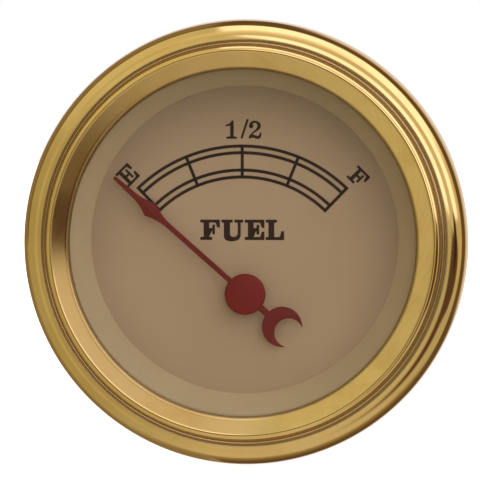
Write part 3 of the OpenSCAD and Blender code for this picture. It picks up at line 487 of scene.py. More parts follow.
# One finish for each material slot of the record
FINISHES = {
    "bezel_gold": polished_gold(),
    "lens_glass": clear_glass("Lens glass", rgb(0.97, 0.985, 0.97), 1.5, (90.0, 500.0, 0.2),
                              (0.45, 0.9, 0.0, 0.05), shadow_tint=rgb(0.97, 0.98, 0.97)),
    "dial_beige": dial_paint_with_painted_shade("Dial paint", rgb(0.63, 0.443, 0.262), rgb(0.60, 0.414, 0.244),
                             rgb(0.445, 0.313, 0.189), 0.55),
    "trim_beige": paint("Trim paint", rgb(0.69, 0.52, 0.288), rgb(0.645, 0.483, 0.265), 0.5),
    "pointer_red": paint("Pointer lacquer", rgb(0.215, 0.014, 0.011), rgb(0.19, 0.012, 0.009), 0.42,
                         gloss=0.22),
    "hub_red": paint("Hub lacquer", rgb(0.25, 0.010, 0.007), rgb(0.22, 0.009, 0.006), 0.40, gloss=0.22),
    "bracket_zinc": ZINC,
    "stud_zinc": ZINC,
    "case_zinc": plated_metal("Drawn case", rgb(0.58, 0.585, 0.575), rgb(0.75, 0.75, 0.73), 0.33,
                              cloud_size=130.0, lines=True),
    "brass": plated_metal("Brass", rgb(0.78, 0.55, 0.24), rgb(0.92, 0.72, 0.38), 0.28),
    "steel": plated_metal("Steel", rgb(0.50, 0.50, 0.49), rgb(0.72, 0.72, 0.70), 0.33),
    "can_steel": plated_metal("Can steel", rgb(0.55, 0.55, 0.54), rgb(0.74, 0.74, 0.72), 0.4),
    "magnet_grey": plated_metal("Magnet", rgb(0.16, 0.16, 0.17), rgb(0.35, 0.35, 0.36), 0.5),
    "socket_black": moulded("Black moulding", rgb(0.018, 0.018, 0.019), 0.42),
    "insulator_brown": moulded("Brown fibre", rgb(0.19, 0.075, 0.035), 0.5, grain=1800.0),
    "gasket_rubber": moulded("Black rubber", rgb(0.022, 0.022, 0.022), 0.68),
    "carrier_white": moulded("White moulding", rgb(0.74, 0.73, 0.69), 0.45),
    "bobbin_ivory": moulded("Ivory nylon", rgb(0.68, 0.62, 0.48), 0.42),
    "board_brown": moulded("Board laminate", rgb(0.20, 0.105, 0.045), 0.45, grain=1500.0),
    "resistor_enamel": moulded("Resistor enamel", rgb(0.42, 0.28, 0.14), 0.4),
    "diode_black": moulded("Diode body", rgb(0.02, 0.02, 0.022), 0.35),
    "wire_dark": enamelled_wire("Dark wire", rgb(0.42, 0.13, 0.05)),
    "wire_light": enamelled_wire("Light wire", rgb(0.66, 0.27, 0.10)),
    "bulb_glass": clear_glass("Bulb glass", rgb(0.96, 0.98, 0.97), 1.45, (400.0, 2000.0, 0.3),
                              (0.3, 0.8, 0.02, 0.12)),
}


def dress_nodes():
    """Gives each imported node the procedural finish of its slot."""
    for name, part in frame["nodes"].items():
        part.data.materials.clear()
        part.data.materials.append(FINISHES[NODE_SLOT[name]])


# Shaping

FILLET_SHARE = 0.49


def rounded(corners, steps=5, closed=True):
    """Outline through corners (x, y, fillet), each rounded by its fillet as far as its sides allow."""
    points = []
    count = len(corners)
    for i, (x, y, fillet) in enumerate(corners):
        corner = Vector((x, y))
        if fillet <= 0 or (not closed and i in (0, count - 1)):
            points.append((x, y))
            continue
        before = Vector(corners[i - 1][:2]) - corner
        after = Vector(corners[(i + 1) % count][:2]) - corner
        half = before.angle(after) / 2
        reach = min(fillet / math.tan(half), FILLET_SHARE * before.length, FILLET_SHARE * after.length)
        radius = reach * math.tan(half)
        centre = corner + (before.normalized() + after.normalized()).normalized() * (radius / math.sin(half))
        start = corner + before.normalized() * reach - centre
        end = corner + after.normalized() * reach - centre
        turn = start.angle_signed(end)
        for k in range(steps + 1):
            spot = start.copy()
            spot.rotate(Matrix.Rotation(-turn * k / steps, 2))
            points.append(tuple(centre + spot))
    return points


def arc(centre_x, centre_y, radius, start, end, steps=12):
    """Points on an arc between two angles in degrees."""
    angles = [math.radians(start + (end - start) * k / steps) for k in range(steps + 1)]
    return [(centre_x + radius * math.cos(a), centre_y + radius * math.sin(a)) for a in angles]


def hexagon(x, y, corner_r, turn=0.0):
    """Corners of a hexagon about a point."""
    return arc(x, y, corner_r, turn, turn + 300, 5)


def lathe(section, at=(0.0, 0.0), segments=SEGMENTS, closed=True, form=None):
    """Turns a section of (radius, z) round an axis through at, with its poles closed."""
    form = form or bmesh.new()
    rings = []
    for radius, z in section:
        if radius < 1e-6:
            rings.append([form.verts.new((at[0], at[1], z))] * segments)
        else:
            rings.append([
                form.verts.new((at[0] + radius * math.sin(2 * math.pi * k / segments),
                                at[1] + radius * math.cos(2 * math.pi * k / segments), z))
                for k in range(segments)
            ])
    pairs = list(zip(rings, rings[1:]))
    if closed:
        pairs.append((rings[-1], rings[0]))
    for first, second in pairs:
        for k in range(segments):
            n = (k + 1) % segments
            corners = list(dict.fromkeys((first[k], first[n], second[n], second[k])))
            if len(corners) > 2:
                form.faces.new(corners)
    return form


def prism(outline, low, high, form=None):
    """Solid between two heights over an outline of (x, y)."""
    form = form or bmesh.new()
    bottom = [form.verts.new((x, y, low)) for x, y in outline]
    top = [form.verts.new((x, y, high)) for x, y in outline]
    form.faces.new(list(reversed(bottom)))
    form.faces.new(top)
    for k in range(len(outline)):
        n = (k + 1) % len(outline)
        form.faces.new((bottom[k], bottom[n], top[n], top[k]))
    return form


def mark_sharp(form):
    """Shades a form smooth, but for its sharp edges."""
    for face in form.faces:
        face.smooth = True
    for edge in form.edges:
        edge.smooth = len(edge.link_faces) == 2 and edge.calc_face_angle(0.0) < SHARP


def mesh_of(form, name):
    """Mesh of a form, with its doubles merged and its faces pointing outwards. The form is used up."""
    bmesh.ops.remove_doubles(form, verts=form.verts, dist=1e-5)
    bmesh.ops.recalc_face_normals(form, faces=form.faces)
    mark_sharp(form)
    mesh = bpy.data.meshes.new(name)
    form.to_mesh(mesh)
    form.free()
    return mesh


def put(name, data):
    """Object that stands in the scene."""
    piece = bpy.data.objects.new(name, data)
    bpy.context.scene.collection.objects.link(piece)
    return piece


def loose(form, name):
    """Object of a form that still lies in the drawing's place."""
    return put(name, mesh_of(form, name))


def as_object(form, name):
    """Object of a form, standing in the frame."""
    piece = loose(form, name)
    piece.data.transform(STAND)
    return piece


def merge_into(name, pieces, drawn=True):
    """Joins pieces into one and removes them; drawn ones are stood up in the frame."""
    form = bmesh.new()
    for piece in pieces:
        form.from_mesh(piece.data)
        bpy.data.objects.remove(piece)
    return as_object(form, name) if drawn else loose(form, name)


def evaluated(piece):
    """Applies what modifies a piece and gives it as a plain mesh."""
    graph = bpy.context.evaluated_depsgraph_get()
    mesh = bpy.data.meshes.new_from_object(piece.evaluated_get(graph), depsgraph=graph)
    piece.modifiers.clear()
    piece.data = mesh
    return piece


def cut(piece, cutters, operation="DIFFERENCE"):
    """Takes cutters out of a piece, or keeps what lies inside them."""
    for cutter in cutters:
        tool = piece.modifiers.new("Cut", "BOOLEAN")
        tool.object, tool.operation, tool.solver = cutter, operation, "EXACT"
    evaluated(piece)
    for cutter in cutters:
        bpy.data.objects.remove(cutter)
    return piece


def smooth_by_angle(mesh):
    """Shades a mesh smooth, but for its sharp edges."""
    form = bmesh.new()
    form.from_mesh(mesh)
    mark_sharp(form)
    form.to_mesh(mesh)
    form.free()


def break_edges(piece, width, segments=2, angle=35):
    """Breaks a piece's edges that are sharper than an angle with a small round."""
    merge, flat = 1e-7, math.radians(1.5)
    form = bmesh.new()
    form.from_mesh(piece.data)
    bmesh.ops.remove_doubles(form, verts=form.verts, dist=merge)
    bmesh.ops.dissolve_limit(form, angle_limit=flat, verts=form.verts, edges=form.edges)
    bmesh.ops.recalc_face_normals(form, faces=form.faces)
    form.to_mesh(piece.data)
    form.free()
    tool = piece.modifiers.new("Edges", "BEVEL")
    tool.width = width * MM
    tool.segments = segments
    tool.limit_method = "ANGLE"
    tool.angle_limit = math.radians(angle)
    tool.harden_normals = False
    evaluated(piece)
    smooth_by_angle(piece.data)
    return piece


def settle(piece, replaced, material=None, body=None):
    """Finishes a piece: its material, its body, the nodes it stands for and its slot."""
    piece.data.materials.clear()
    piece.data.materials.append(material or FINISHES[NODE_SLOT[replaced[0]]])
    for face in piece.data.polygons:
        face.material_index = 0
    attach(piece, body or NODE_BODY[replaced[0]])
    if replaced:
        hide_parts(*replaced)
    return piece


# Bezel and glass

BEZEL = span("bezel")
LENS = span("lens")
GLASS_Z = LENS.front
SHEET = 0.6
CRIMP_R = 27.3
WINDOW_R = BEZEL.right - 6.9


def bezel():
    """Spun ring: leaning wall, shoulder, groove, ridge, groove, inner shoulder, funnel and lip."""
    outside = BEZEL.right - 0.1
    wall_lean, wall_top = 0.2, GLASS_Z - 1.5
    lean = math.atan(wall_lean / (wall_top - SHEET))
    start = math.degrees(lean)
    shoulder_r, shoulder_w = 2.8, 2.85
    shoulder_at = outside - wall_lean - shoulder_r * math.cos(lean)
    shoulder_z = wall_top - shoulder_r * math.sin(lean)
    edge_r = outside - shoulder_w
    edge_turn = math.acos((edge_r - shoulder_at) / shoulder_r)
    edge_z = shoulder_z + shoulder_r * math.sin(edge_turn)
    before_edge = edge_turn - 0.03
    before_x = shoulder_at + shoulder_r * math.cos(before_edge)
    before_z = shoulder_z + shoulder_r * math.sin(before_edge)
    groove_z, groove_w, draft = GLASS_Z + 0.45, 0.24, 0.01
    ridge_r, ridge_rise = 0.14, groove_z + 0.1
    ridge_at = edge_r - groove_w - ridge_r
    inner_r, inner_end, inner_groove_w = 0.7, 110.0, 0.2
    inner_at, inner_z = ridge_at - ridge_r - inner_groove_w - inner_r, groove_z + 0.4
    lip_r, lip_turn, lip_z = 0.9, 21.0, GLASS_Z + 0.04

    section = arc(outside - SHEET, SHEET, SHEET, -90, start, 8)
    section += arc(shoulder_at, shoulder_z, shoulder_r, start, math.degrees(edge_turn) - 1.5, 40)
    section += rounded([
        (before_x, before_z, 0), (edge_r, edge_z, 0.06), (edge_r - 0.03, groove_z, 0.07),
        (ridge_at + ridge_r + draft, groove_z, 0.05), (ridge_at + ridge_r - 0.02, ridge_rise, 0)
    ], closed=False)[1:-1]
    section += arc(ridge_at, groove_z, ridge_r, 25, 155, 12)
    section += rounded([
        (ridge_at - ridge_r, ridge_rise, 0), (ridge_at - ridge_r - draft, groove_z, 0.04),
        (inner_at + inner_r + draft, groove_z, 0.04), (inner_at + inner_r, inner_z - 0.1, 0)
    ], closed=False)[1:-1]
    section += arc(inner_at, inner_z, inner_r, 0, inner_end, 36)
    lip = arc(WINDOW_R + lip_r, lip_z, lip_r, 90 + lip_turn, 180, 24)
    fall = (Vector(section[-1]) - Vector(lip[0])) / 12
    section += [tuple(Vector(section[-1]) - fall), tuple(Vector(lip[0]) + fall)] + lip

    # the sheet's inner face, from the window back out to the wall and the crimp
    on_glass, inside_r = GLASS_Z + 0.05, inner_at + inner_r - SHEET
    shoulder_foot, shoulder_foot_turn = 27.98, 62
    section += [(WINDOW_R, GLASS_Z + 0.02), (WINDOW_R + 0.03, GLASS_Z + 0.01), (WINDOW_R + 1.3, on_glass)]
    section += rounded([
        (WINDOW_R + 1.4, on_glass, 0.1), (inner_at - 0.45, inner_z + inner_r - SHEET, 0.2),
        (inside_r, groove_z + 0.15, 0.2), (inside_r, on_glass, 0.1), (shoulder_foot, on_glass, 0)
    ], closed=False)
    section += arc(shoulder_at, shoulder_z, shoulder_r - SHEET, shoulder_foot_turn, start, 12)
    section += [(outside - SHEET, SHEET + 0.1), (outside - SHEET - 0.1, SHEET)]
    section += [(CRIMP_R, SHEET), (CRIMP_R, 0)]

    form = lathe(section)
    for vert in form.verts:
        if vert.co.z > GLASS_Z:
            share = (SHIFT_START - math.hypot(vert.co.x, vert.co.y)) / (SHIFT_START - SHIFT_END)
            vert.co.x -= INNER_SHIFT * min(max(share, 0), 1)
    return settle(as_object(form, "bezel_spun"), ["bezel"])


def lens():
    """Flat glass with a ground bevel round both edges."""
    bevel, r = 0.3, LENS.right
    form = lathe([
        (0, LENS.back), (r - bevel, LENS.back), (r, LENS.back + bevel), (r, LENS.front - bevel),
        (r - bevel, LENS.front), (0, LENS.front)
    ], closed=False)
    return settle(as_object(form, "lens_glass_disc"), ["lens"])


def trim_ring():
    """Cone of painted sheet between the glass and the dial, a little off the middle."""
    box = span("trim_ring")
    inner, window, off_centre = 20.77, WINDOW_R + 0.1, (-0.25, 0.3)
    form = lathe(rounded([
        (inner, box.back, 0.05), (inner + 0.12, box.back + 0.22, 0.15), (window, box.front, 0.25),
        (box.right, box.front, 0.1), (box.right, box.front - SHEET, 0.1),
        (window + 0.4, box.front - SHEET, 0.3), (inner + 0.55, box.back, 0.1)
    ]), at=off_centre)
    return settle(as_object(form, "trim_cone"), ["trim_ring"])


# Dial and pointer

DIAL_Z = span("dial").front
PIVOT = middle("pointer_hub")
PRINT_THICK = 0.012
PRINT_Z = DIAL_Z + PRINT_THICK
PRINT_SHIFT = (-0.53, -0.38)
SCALE_TILT = 43.95
LETTER_UNIT = 0.1363


def smooth_loop(points, steps=6):
    """Closed smooth line through points."""
    count = len(points)
    line = []
    for i in range(count):
        a, b, c, d = (Vector(points[(i + k) % count]) for k in (-1, 0, 1, 2))
        for k in range(steps):
            t = k / steps
            line.append(tuple(0.5 * (2 * b + (c - a) * t + (2 * a - 5 * b + 4 * c - d) * t * t
                                     + (3 * b - a - 3 * c + d) * t * t * t)))
    return line


# Slab-serif outlines of the dial's words, in units of the lettering: capitals, the two small letters, 1/2
TALL, SMALL_E, SMALL_F = 19.6, 17.4, 16.3
GLYPHS = {
    "F": rounded([
        (0, 0, 0.3), (11.3, 0, 0.3), (11.3, 2.3, 0.3), (8.4, 2.5, 0.9), (8.4, 8.8, 0.2), (12.0, 8.8, 0.6),
        (12.2, 5.5, 0.2), (14.1, 5.5, 0.2), (14.1, 14.7, 0.2), (12.2, 14.7, 0.2), (12.0, 11.3, 0.6),
        (8.4, 11.3, 0.2), (8.4, TALL - 2.4, 0.3), (15.2, TALL - 2.4, 1.6), (16.9, 12.3, 0.2),
        (19.0, 12.3, 0.3), (19.0, TALL, 0.3), (0, TALL, 0.3), (0, TALL - 2.3, 0.3), (3.4, TALL - 2.5, 0.9),
        (3.4, 2.5, 0.9), (0, 2.3, 0.3)
    ], steps=3),
    "U": rounded([
        (0, TALL, 0.3), (0, TALL - 2.3, 0.3), (2.5, TALL - 2.5, 0.9), (2.5, 0, 5.2), (9.5, -1.6, 7.0),
        (18.7, 0, 6.0), (18.7, TALL - 2.5, 0.7), (21.2, TALL - 2.3, 0.3), (21.2, TALL, 0.3),
        (12.9, TALL, 0.3), (12.9, TALL - 2.3, 0.3), (16.3, TALL - 2.5, 0.7), (16.3, 2.6, 4.6),
        (8.1, 2.2, 3.6), (8.1, TALL - 2.5, 0.9), (10.8, TALL - 2.3, 0.3), (10.8, TALL, 0.3)
    ], steps=6),
    "E": rounded([
        (0, 0, 0.3), (19.0, 0, 0.3), (19.0, 7.7, 0.3), (16.9, 7.7, 0.2), (15.2, 2.4, 1.6), (8.3, 2.4, 0.3),
        (8.3, 8.8, 0.2), (11.5, 8.8, 0.6), (11.7, 5.5, 0.2), (13.8, 5.5, 0.2), (13.8, 14.5, 0.2),
        (11.7, 14.5, 0.2), (11.5, 11.2, 0.6), (8.3, 11.2, 0.2), (8.3, TALL - 2.4, 0.3),
        (15.2, TALL - 2.4, 1.6), (16.9, 12.0, 0.2), (19.0, 12.0, 0.3), (19.0, TALL, 0.3), (0, TALL, 0.3),
        (0, TALL - 2.3, 0.3), (3.1, TALL - 2.5, 0.9), (3.1, 2.5, 0.9), (0, 2.3, 0.3)
    ], steps=3),
    "L": rounded([
        (0, 0, 0.3), (17.8, 0, 0.3), (17.8, 8.3, 0.3), (15.6, 8.3, 0.2), (14.0, 2.4, 1.6), (8.0, 2.4, 0.3),
        (8.0, TALL - 2.5, 0.9), (10.7, TALL - 2.3, 0.3), (10.7, TALL, 0.3), (0, TALL, 0.3),
        (0, TALL - 2.3, 0.3), (2.8, TALL - 2.5, 0.9), (2.8, 2.5, 0.9), (0, 2.3, 0.3)
    ], steps=3),
    "empty": rounded([
        (0, 0, 0.2), (16.0, 0, 0.2), (16.0, 6.9, 0.3), (13.9, 6.9, 0.2), (12.9, 2.2, 1.2), (6.2, 2.2, 0.3),
        (6.2, 7.7, 0.2), (9.4, 7.7, 0.3), (9.4, 3.9, 0.2), (11.4, 3.9, 0.2), (11.4, 13.6, 0.2),
        (9.4, 13.6, 0.2), (9.4, 9.8, 0.3), (6.2, 9.8, 0.2), (6.2, SMALL_E - 2.2, 0.3),
        (12.9, SMALL_E - 2.2, 1.2), (13.9, SMALL_E - 6.9, 0.2), (16.0, SMALL_E - 6.9, 0.3),
        (16.0, SMALL_E, 0.2), (0, SMALL_E, 0.2), (0, SMALL_E - 2.2, 0.2), (3.0, SMALL_E - 2.2, 0.5),
        (3.0, 2.2, 0.5), (0, 2.2, 0.2)
    ], steps=3),
    "full": rounded([
        (0, 0, 0.2), (9.65, 0, 0.2), (9.65, 2.1, 0.2), (6.4, 2.2, 0.5), (6.4, 7.2, 0.2), (10.0, 7.2, 0.3),
        (10.0, 3.7, 0.2), (12.0, 3.7, 0.2), (12.0, 12.6, 0.2), (10.0, 12.6, 0.2), (10.0, 9.3, 0.3),
        (6.4, 9.3, 0.2), (6.4, SMALL_F - 2.2, 0.3), (13.8, SMALL_F - 2.2, 1.2), (14.9, SMALL_F - 7.2, 0.2),
        (17.0, SMALL_F - 7.2, 0.3), (17.0, SMALL_F, 0.2), (0, SMALL_F, 0.2), (0, SMALL_F - 2.1, 0.2),
        (3.1, SMALL_F - 2.2, 0.5), (3.1, 2.2, 0.5), (0, 2.1, 0.2)
    ], steps=3),
    "one": rounded([
        (1.0, 0, 0.2), (11.5, 0, 0.2), (11.5, 1.2, 0.3), (8.1, 2.0, 0.6), (8.1, 18.4, 0.6),
        (6.9, 18.4, 0.4), (4.6, 15.4, 2.0), (0.2, 13.7, 0.2), (0.2, 12.7, 0.2), (5.1, 13.6, 0.5),
        (5.1, 2.0, 0.6), (1.0, 1.2, 0.3)
    ], steps=3),
    "slash": [(0, 0), (2.2, 0), (8.6, 19.9), (6.4, 19.9)],
    "two": smooth_loop([
        (0.6, 0.2), (0.7, 2.2), (3.4, 5.6), (7.0, 8.6), (9.1, 11.6), (9.1, 14.6), (7.6, 16.4), (5.4, 16.5),
        (3.6, 15.5), (4.1, 14.2), (4.4, 12.4), (3.2, 11.0), (1.5, 11.2), (0.7, 12.8), (1.2, 15.2),
        (3.2, 17.2), (6.2, 18.0), (9.8, 17.0), (12.0, 14.4), (11.7, 11.2), (9.2, 8.6), (5.6, 6.2),
        (3.4, 4.4), (2.9, 3.4), (4.8, 3.7), (7.2, 2.6), (9.6, 2.2), (11.0, 3.2), (11.9, 5.6), (12.7, 5.6),
        (12.6, 2.6), (11.3, 0.4), (9.0, -0.2), (6.6, 0.5), (4.0, 1.2), (2.0, 0.6)
    ]),
}


def curve_piece(name, outline, swell):
    """Thin flat mesh from a closed outline, made bolder by a swell."""
    shape = bpy.data.curves.new(name, "CURVE")
    shape.dimensions = "2D"
    shape.fill_mode = "BOTH"
    shape.extrude = PRINT_THICK / 2
    shape.offset = swell
    spline = shape.splines.new("POLY")
    spline.points.add(len(outline) - 1)
    for point, (x, y) in zip(spline.points, outline):
        point.co = (x, y, 0, 1)
    spline.use_cyclic_u = True
    source = put(name, shape)
    graph = bpy.context.evaluated_depsgraph_get()
    mesh = bpy.data.meshes.new_from_object(source.evaluated_get(graph), depsgraph=graph)
    bpy.data.objects.remove(source)
    return mesh


def glyph_at(name, x, y, turn=0.0, unit=LETTER_UNIT, centre=(0.0, 0.0), swell=0.3):
    """Mesh of one glyph, turned about its own centre and moved to its place on the dial."""
    mesh = curve_piece(name, GLYPHS[name], swell)
    mesh.transform(Matrix.Translation((x, y, PRINT_Z)) @ Matrix.Rotation(math.radians(turn), 4, "Z")
                   @ Matrix.Diagonal((unit, unit, 1, 1)) @ Matrix.Translation((-centre[0], -centre[1], 0)))
    return mesh


def dial_words():
    """FUEL, 1/2 and the letters at the two ends of the scale."""
    base_y, figures_y, figure_unit = 0.30, 14.0, 0.130
    form = bmesh.new()
    for name, x in (("F", -6.19), ("U", -3.32), ("E", -0.14), ("L", 2.69)):
        form.from_mesh(glyph_at(name, x, base_y))
    for name, x, swell in (("one", -2.78, 0.35), ("slash", -0.76, 0.1), ("two", 0.36, 0.4)):
        form.from_mesh(glyph_at(name, x, figures_y, unit=figure_unit, swell=swell))
    form.from_mesh(glyph_at("empty", -16.1, 9.0, 45, unit=0.144, centre=(8.0, 8.7), swell=0.1))
    form.from_mesh(glyph_at("full", 15.19, 8.8, -45, centre=(8.5, 8.15), swell=0.15))
    return settle(as_object(form, "dial_words"), [], material=INK, body="gauge")


def reshaped(tree, mesh, *place):
    """Mesh whose points are moved to new places."""
    return add(tree, "GeometryNodeSetPosition", {"Geometry": mesh, "Position": vector(*place)}).outputs[0]


def scale_tree():
    """Curved scale: four arcs and evenly spaced radial ticks, as flat bars."""
    tree, given, result = new_group("Scale lines", {
        "Outer radius": 20.35, "Upper gap": 0.9, "Inner radius": 16.17, "Lower gap": 0.93,
        "Line width": 0.43, "Half sweep": math.radians(SCALE_TILT), "Ticks": 5,
    }, ["Mesh"], makes_mesh=True)
    outer, inner, line = (given[name] for name in ("Outer radius", "Inner radius", "Line width"))
    sweep = given["Half sweep"]
    join = tree.nodes.new("GeometryNodeJoinGeometry")
    along, across, _ = parts(add(tree, "GeometryNodeInputPosition").outputs[0])
    for radius in (outer, less(outer, given["Upper gap"]), plus(inner, given["Lower gap"]), inner):
        strip = add(tree, "GeometryNodeMeshGrid", {
            "Size X": 2.0, "Size Y": 1.0, "Vertices X": 97, "Vertices Y": 2})
        up, right = turned(plus(radius, times(across, line)), times(along, sweep))
        feed(join.inputs, Geometry=reshaped(tree, strip.outputs[0], right, up))
    reach = plus(less(outer, inner), line)
    bar = add(tree, "GeometryNodeMeshGrid", {
        "Size X": line, "Size Y": reach, "Vertices X": 2, "Vertices Y": 2})
    lifted = add(tree, "GeometryNodeTransform", {
        "Geometry": bar.outputs[0], "Translation": vector(y=over(plus(outer, inner), 2.0))})
    share = over(add(tree, "GeometryNodeInputIndex").outputs[0], less(given["Ticks"], 1.0))
    spin = vector(z=times(less(times(share, 2.0), 1.0), sweep))
    ticks = add(tree, "GeometryNodeInstanceOnPoints", {
        "Points": add(tree, "GeometryNodePoints", {"Count": given["Ticks"]}).outputs[0],
        "Instance": lifted.outputs[0],
        "Rotation": add(tree, "FunctionNodeEulerToRotation", {0: spin}).outputs[0]})
    feed(join.inputs, Geometry=ticks.outputs[0])
    real = add(tree, "GeometryNodeRealizeInstances", {0: join.outputs[0]})
    thick = add(tree, "GeometryNodeExtrudeMesh", {
        "Mesh": real.outputs[0], "Offset Scale": PRINT_THICK, "Individual": False})
    feed(result, Mesh=thick.outputs[0])
    return tree


def grown(name, tree, mesh=None, **values):
    """Plain mesh object from a Geometry Nodes tree, drawn in millimetres."""
    piece = put(name, mesh or bpy.data.meshes.new(name))
    modifier = piece.modifiers.new("Nodes", "NODES")
    modifier.node_group = tree
    for item in tree.interface.items_tree:
        key = item.name.replace(" ", "_")
        if item.in_out == "INPUT" and key in values:
            modifier[item.identifier] = values[key]
    return evaluated(piece)


def dial_scale():
    """Printed scale round the pointer's axis."""
    piece = grown("dial_scale", scale_tree())
    piece.data.transform(STAND @ Matrix.Translation((
        PIVOT[0] + PRINT_SHIFT[0], PIVOT[1] + PRINT_SHIFT[1], PRINT_Z - PRINT_THICK / 2)))
    return settle(piece, [], material=INK, body="gauge")


REST_ANGLE = 48.5
POINTER_LEN = 23.8
FLARE, WIDEST, WAIST = 13.6, 17.2, 20.4


def blade_half(at):
    """Half width of the blade at a distance from its axis."""
    stem, swell, waist, tip = 0.35, 1.125, 0.375, 0.25
    if at < FLARE:
        return stem
    if at < WIDEST:
        return stem + (swell - stem) * ((at - FLARE) / (WIDEST - FLARE)) ** 2.2
    if at < WAIST:
        return waist + (swell - waist) * ((WAIST - at) / (WAIST - WIDEST)) ** 2
    return waist - (waist - tip) * (at - WAIST) / (POINTER_LEN - WAIST)


def blade_outline():
    """Outline of the whole stamping: blade, ring and crescent, with the axis at the origin."""
    tip_r, ring_r, neck, stem_foot = 0.25, 2.48, 0.46, 2.45
    moon_r, moon_at, cut_r, cut_at = 2.73, 6.64, 1.95, 7.84
    steps = [stem_foot] + [FLARE + (WIDEST - FLARE) * k / 10 for k in range(11)]
    steps += [WIDEST + (WAIST - WIDEST) * k / 14 for k in range(1, 15)]
    right = [(blade_half(at), at) for at in steps]
    tip = arc(0, POINTER_LEN - tip_r, tip_r, 0, 180, 10)
    left = [(-x, y) for x, y in reversed(right)]
    ring_start = math.degrees(math.acos(-blade_half(0) / ring_r))
    ring_end = 270 - math.degrees(math.asin(neck / ring_r))
    ring_left = arc(0, 0, ring_r, ring_start + 2, ring_end, 24)
    join = math.degrees(math.asin(neck / moon_r))
    horn_y = ((moon_r ** 2 - cut_r ** 2) - (moon_at ** 2 - cut_at ** 2)) / (2 * (moon_at - cut_at))
    horn_x = math.sqrt(moon_r ** 2 - (horn_y + moon_at) ** 2)
    horn_out = math.degrees(math.atan2(horn_y + moon_at, horn_x))
    horn_in = math.degrees(math.atan2(horn_y + cut_at, horn_x))
    moon_left = arc(0, -moon_at, moon_r, 90 + join, 180 - horn_out, 20)
    moon_cut = arc(0, -cut_at, cut_r, 180 - horn_in, horn_in, 28)
    moon_right = arc(0, -moon_at, moon_r, horn_out, 90 - join, 20)
    ring_right = [(-x, y) for x, y in reversed(ring_left)]
    return right + tip + left + ring_left + moon_left + moon_cut[1:-1] + moon_right + ring_right


def pointer_blade():
    """Stamped blade with softly rolled edges, turned to where it rests."""
    box = span("pointer_blade")
    form = prism(blade_outline(), box.back, box.front)
    place = Matrix.Translation((*PIVOT, 0)) @ Matrix.Rotation(math.radians(REST_ANGLE), 4, "Z")
    bmesh.ops.transform(form, matrix=place, verts=form.verts)
    piece = break_edges(as_object(form, "pointer_stamping"), 0.09, segments=3, angle=50)
    return settle(piece, ["pointer_blade"])


def pointer_hub():
    """Domed cap with a rounded edge and the boss behind it."""
    box, seat = span("pointer_hub"), span("pointer_blade").front
    cap_r, boss_r, edge_r, dome_r, steps = (box.right - box.left) / 2, 1.2, 0.35, 16.0, 14
    side_z = seat + 0.75
    section = [(0, box.back), (boss_r, box.back), (boss_r, seat), (cap_r - 0.05, seat), (cap_r, seat + 0.05)]
    section += arc(cap_r - edge_r, side_z - edge_r, edge_r, 0, 80, 8)
    rim_r, rim_z = section[-1]
    rim_drop = math.sqrt(dome_r ** 2 - rim_r ** 2)
    for k in range(1, steps + 1):
        r = rim_r * (1 - k / steps)
        section.append((r, rim_z + math.sqrt(dome_r ** 2 - r * r) - rim_drop))
    form = lathe(section, at=PIVOT, segments=96, closed=False)
    return settle(as_object(form, "hub_cap"), ["pointer_hub"])


# Case and its back

CASE = span("case")
CASE_R = 26.4
STUD_R, STUD_HOLE_R = 2.083, 2.133


def round_cutter(at, radius, front, back):
    """Plain cylinder that cuts a hole."""
    section = [(0, back), (radius, back), (radius, front), (0, front)]
    return as_object(lathe(section, at=at, segments=64, closed=False), "cutter")


def case():
    """Drawn cup with a flange in front, a round corner behind and the holes in its floor."""
    wall, floor_z, flange_back = 0.8, CASE.back + 0.8, 0.6
    form = lathe(rounded([
        (0.0, CASE.back, 0), (CASE_R - 2.0, CASE.back, 0), (CASE_R, CASE.back, 1.99),
        (CASE_R, flange_back, 0.8), (CASE.right, flange_back, 0.1), (CASE.right, CASE.front, 0.1),
        (CASE_R - wall, CASE.front, 0.7), (CASE_R - wall, floor_z, 1.2), (0.0, floor_z, 0)
    ], steps=8, closed=False), closed=False)
    holes = {"terminal_stud_ignition": 3.05, "terminal_stud_sender": 3.05, "terminal_stud_ground": 2.03,
             "clamp_nut_upper": STUD_HOLE_R, "clamp_nut_lower": STUD_HOLE_R, "lamp_bulb": 6.1}
    piece = cut(as_object(form, "case_cup"), [
        round_cutter(middle(node), radius, floor_z + 1, CASE.back - 1) for node, radius in holes.items()])
    smooth_by_angle(piece.data)
    return settle(piece, ["case"])


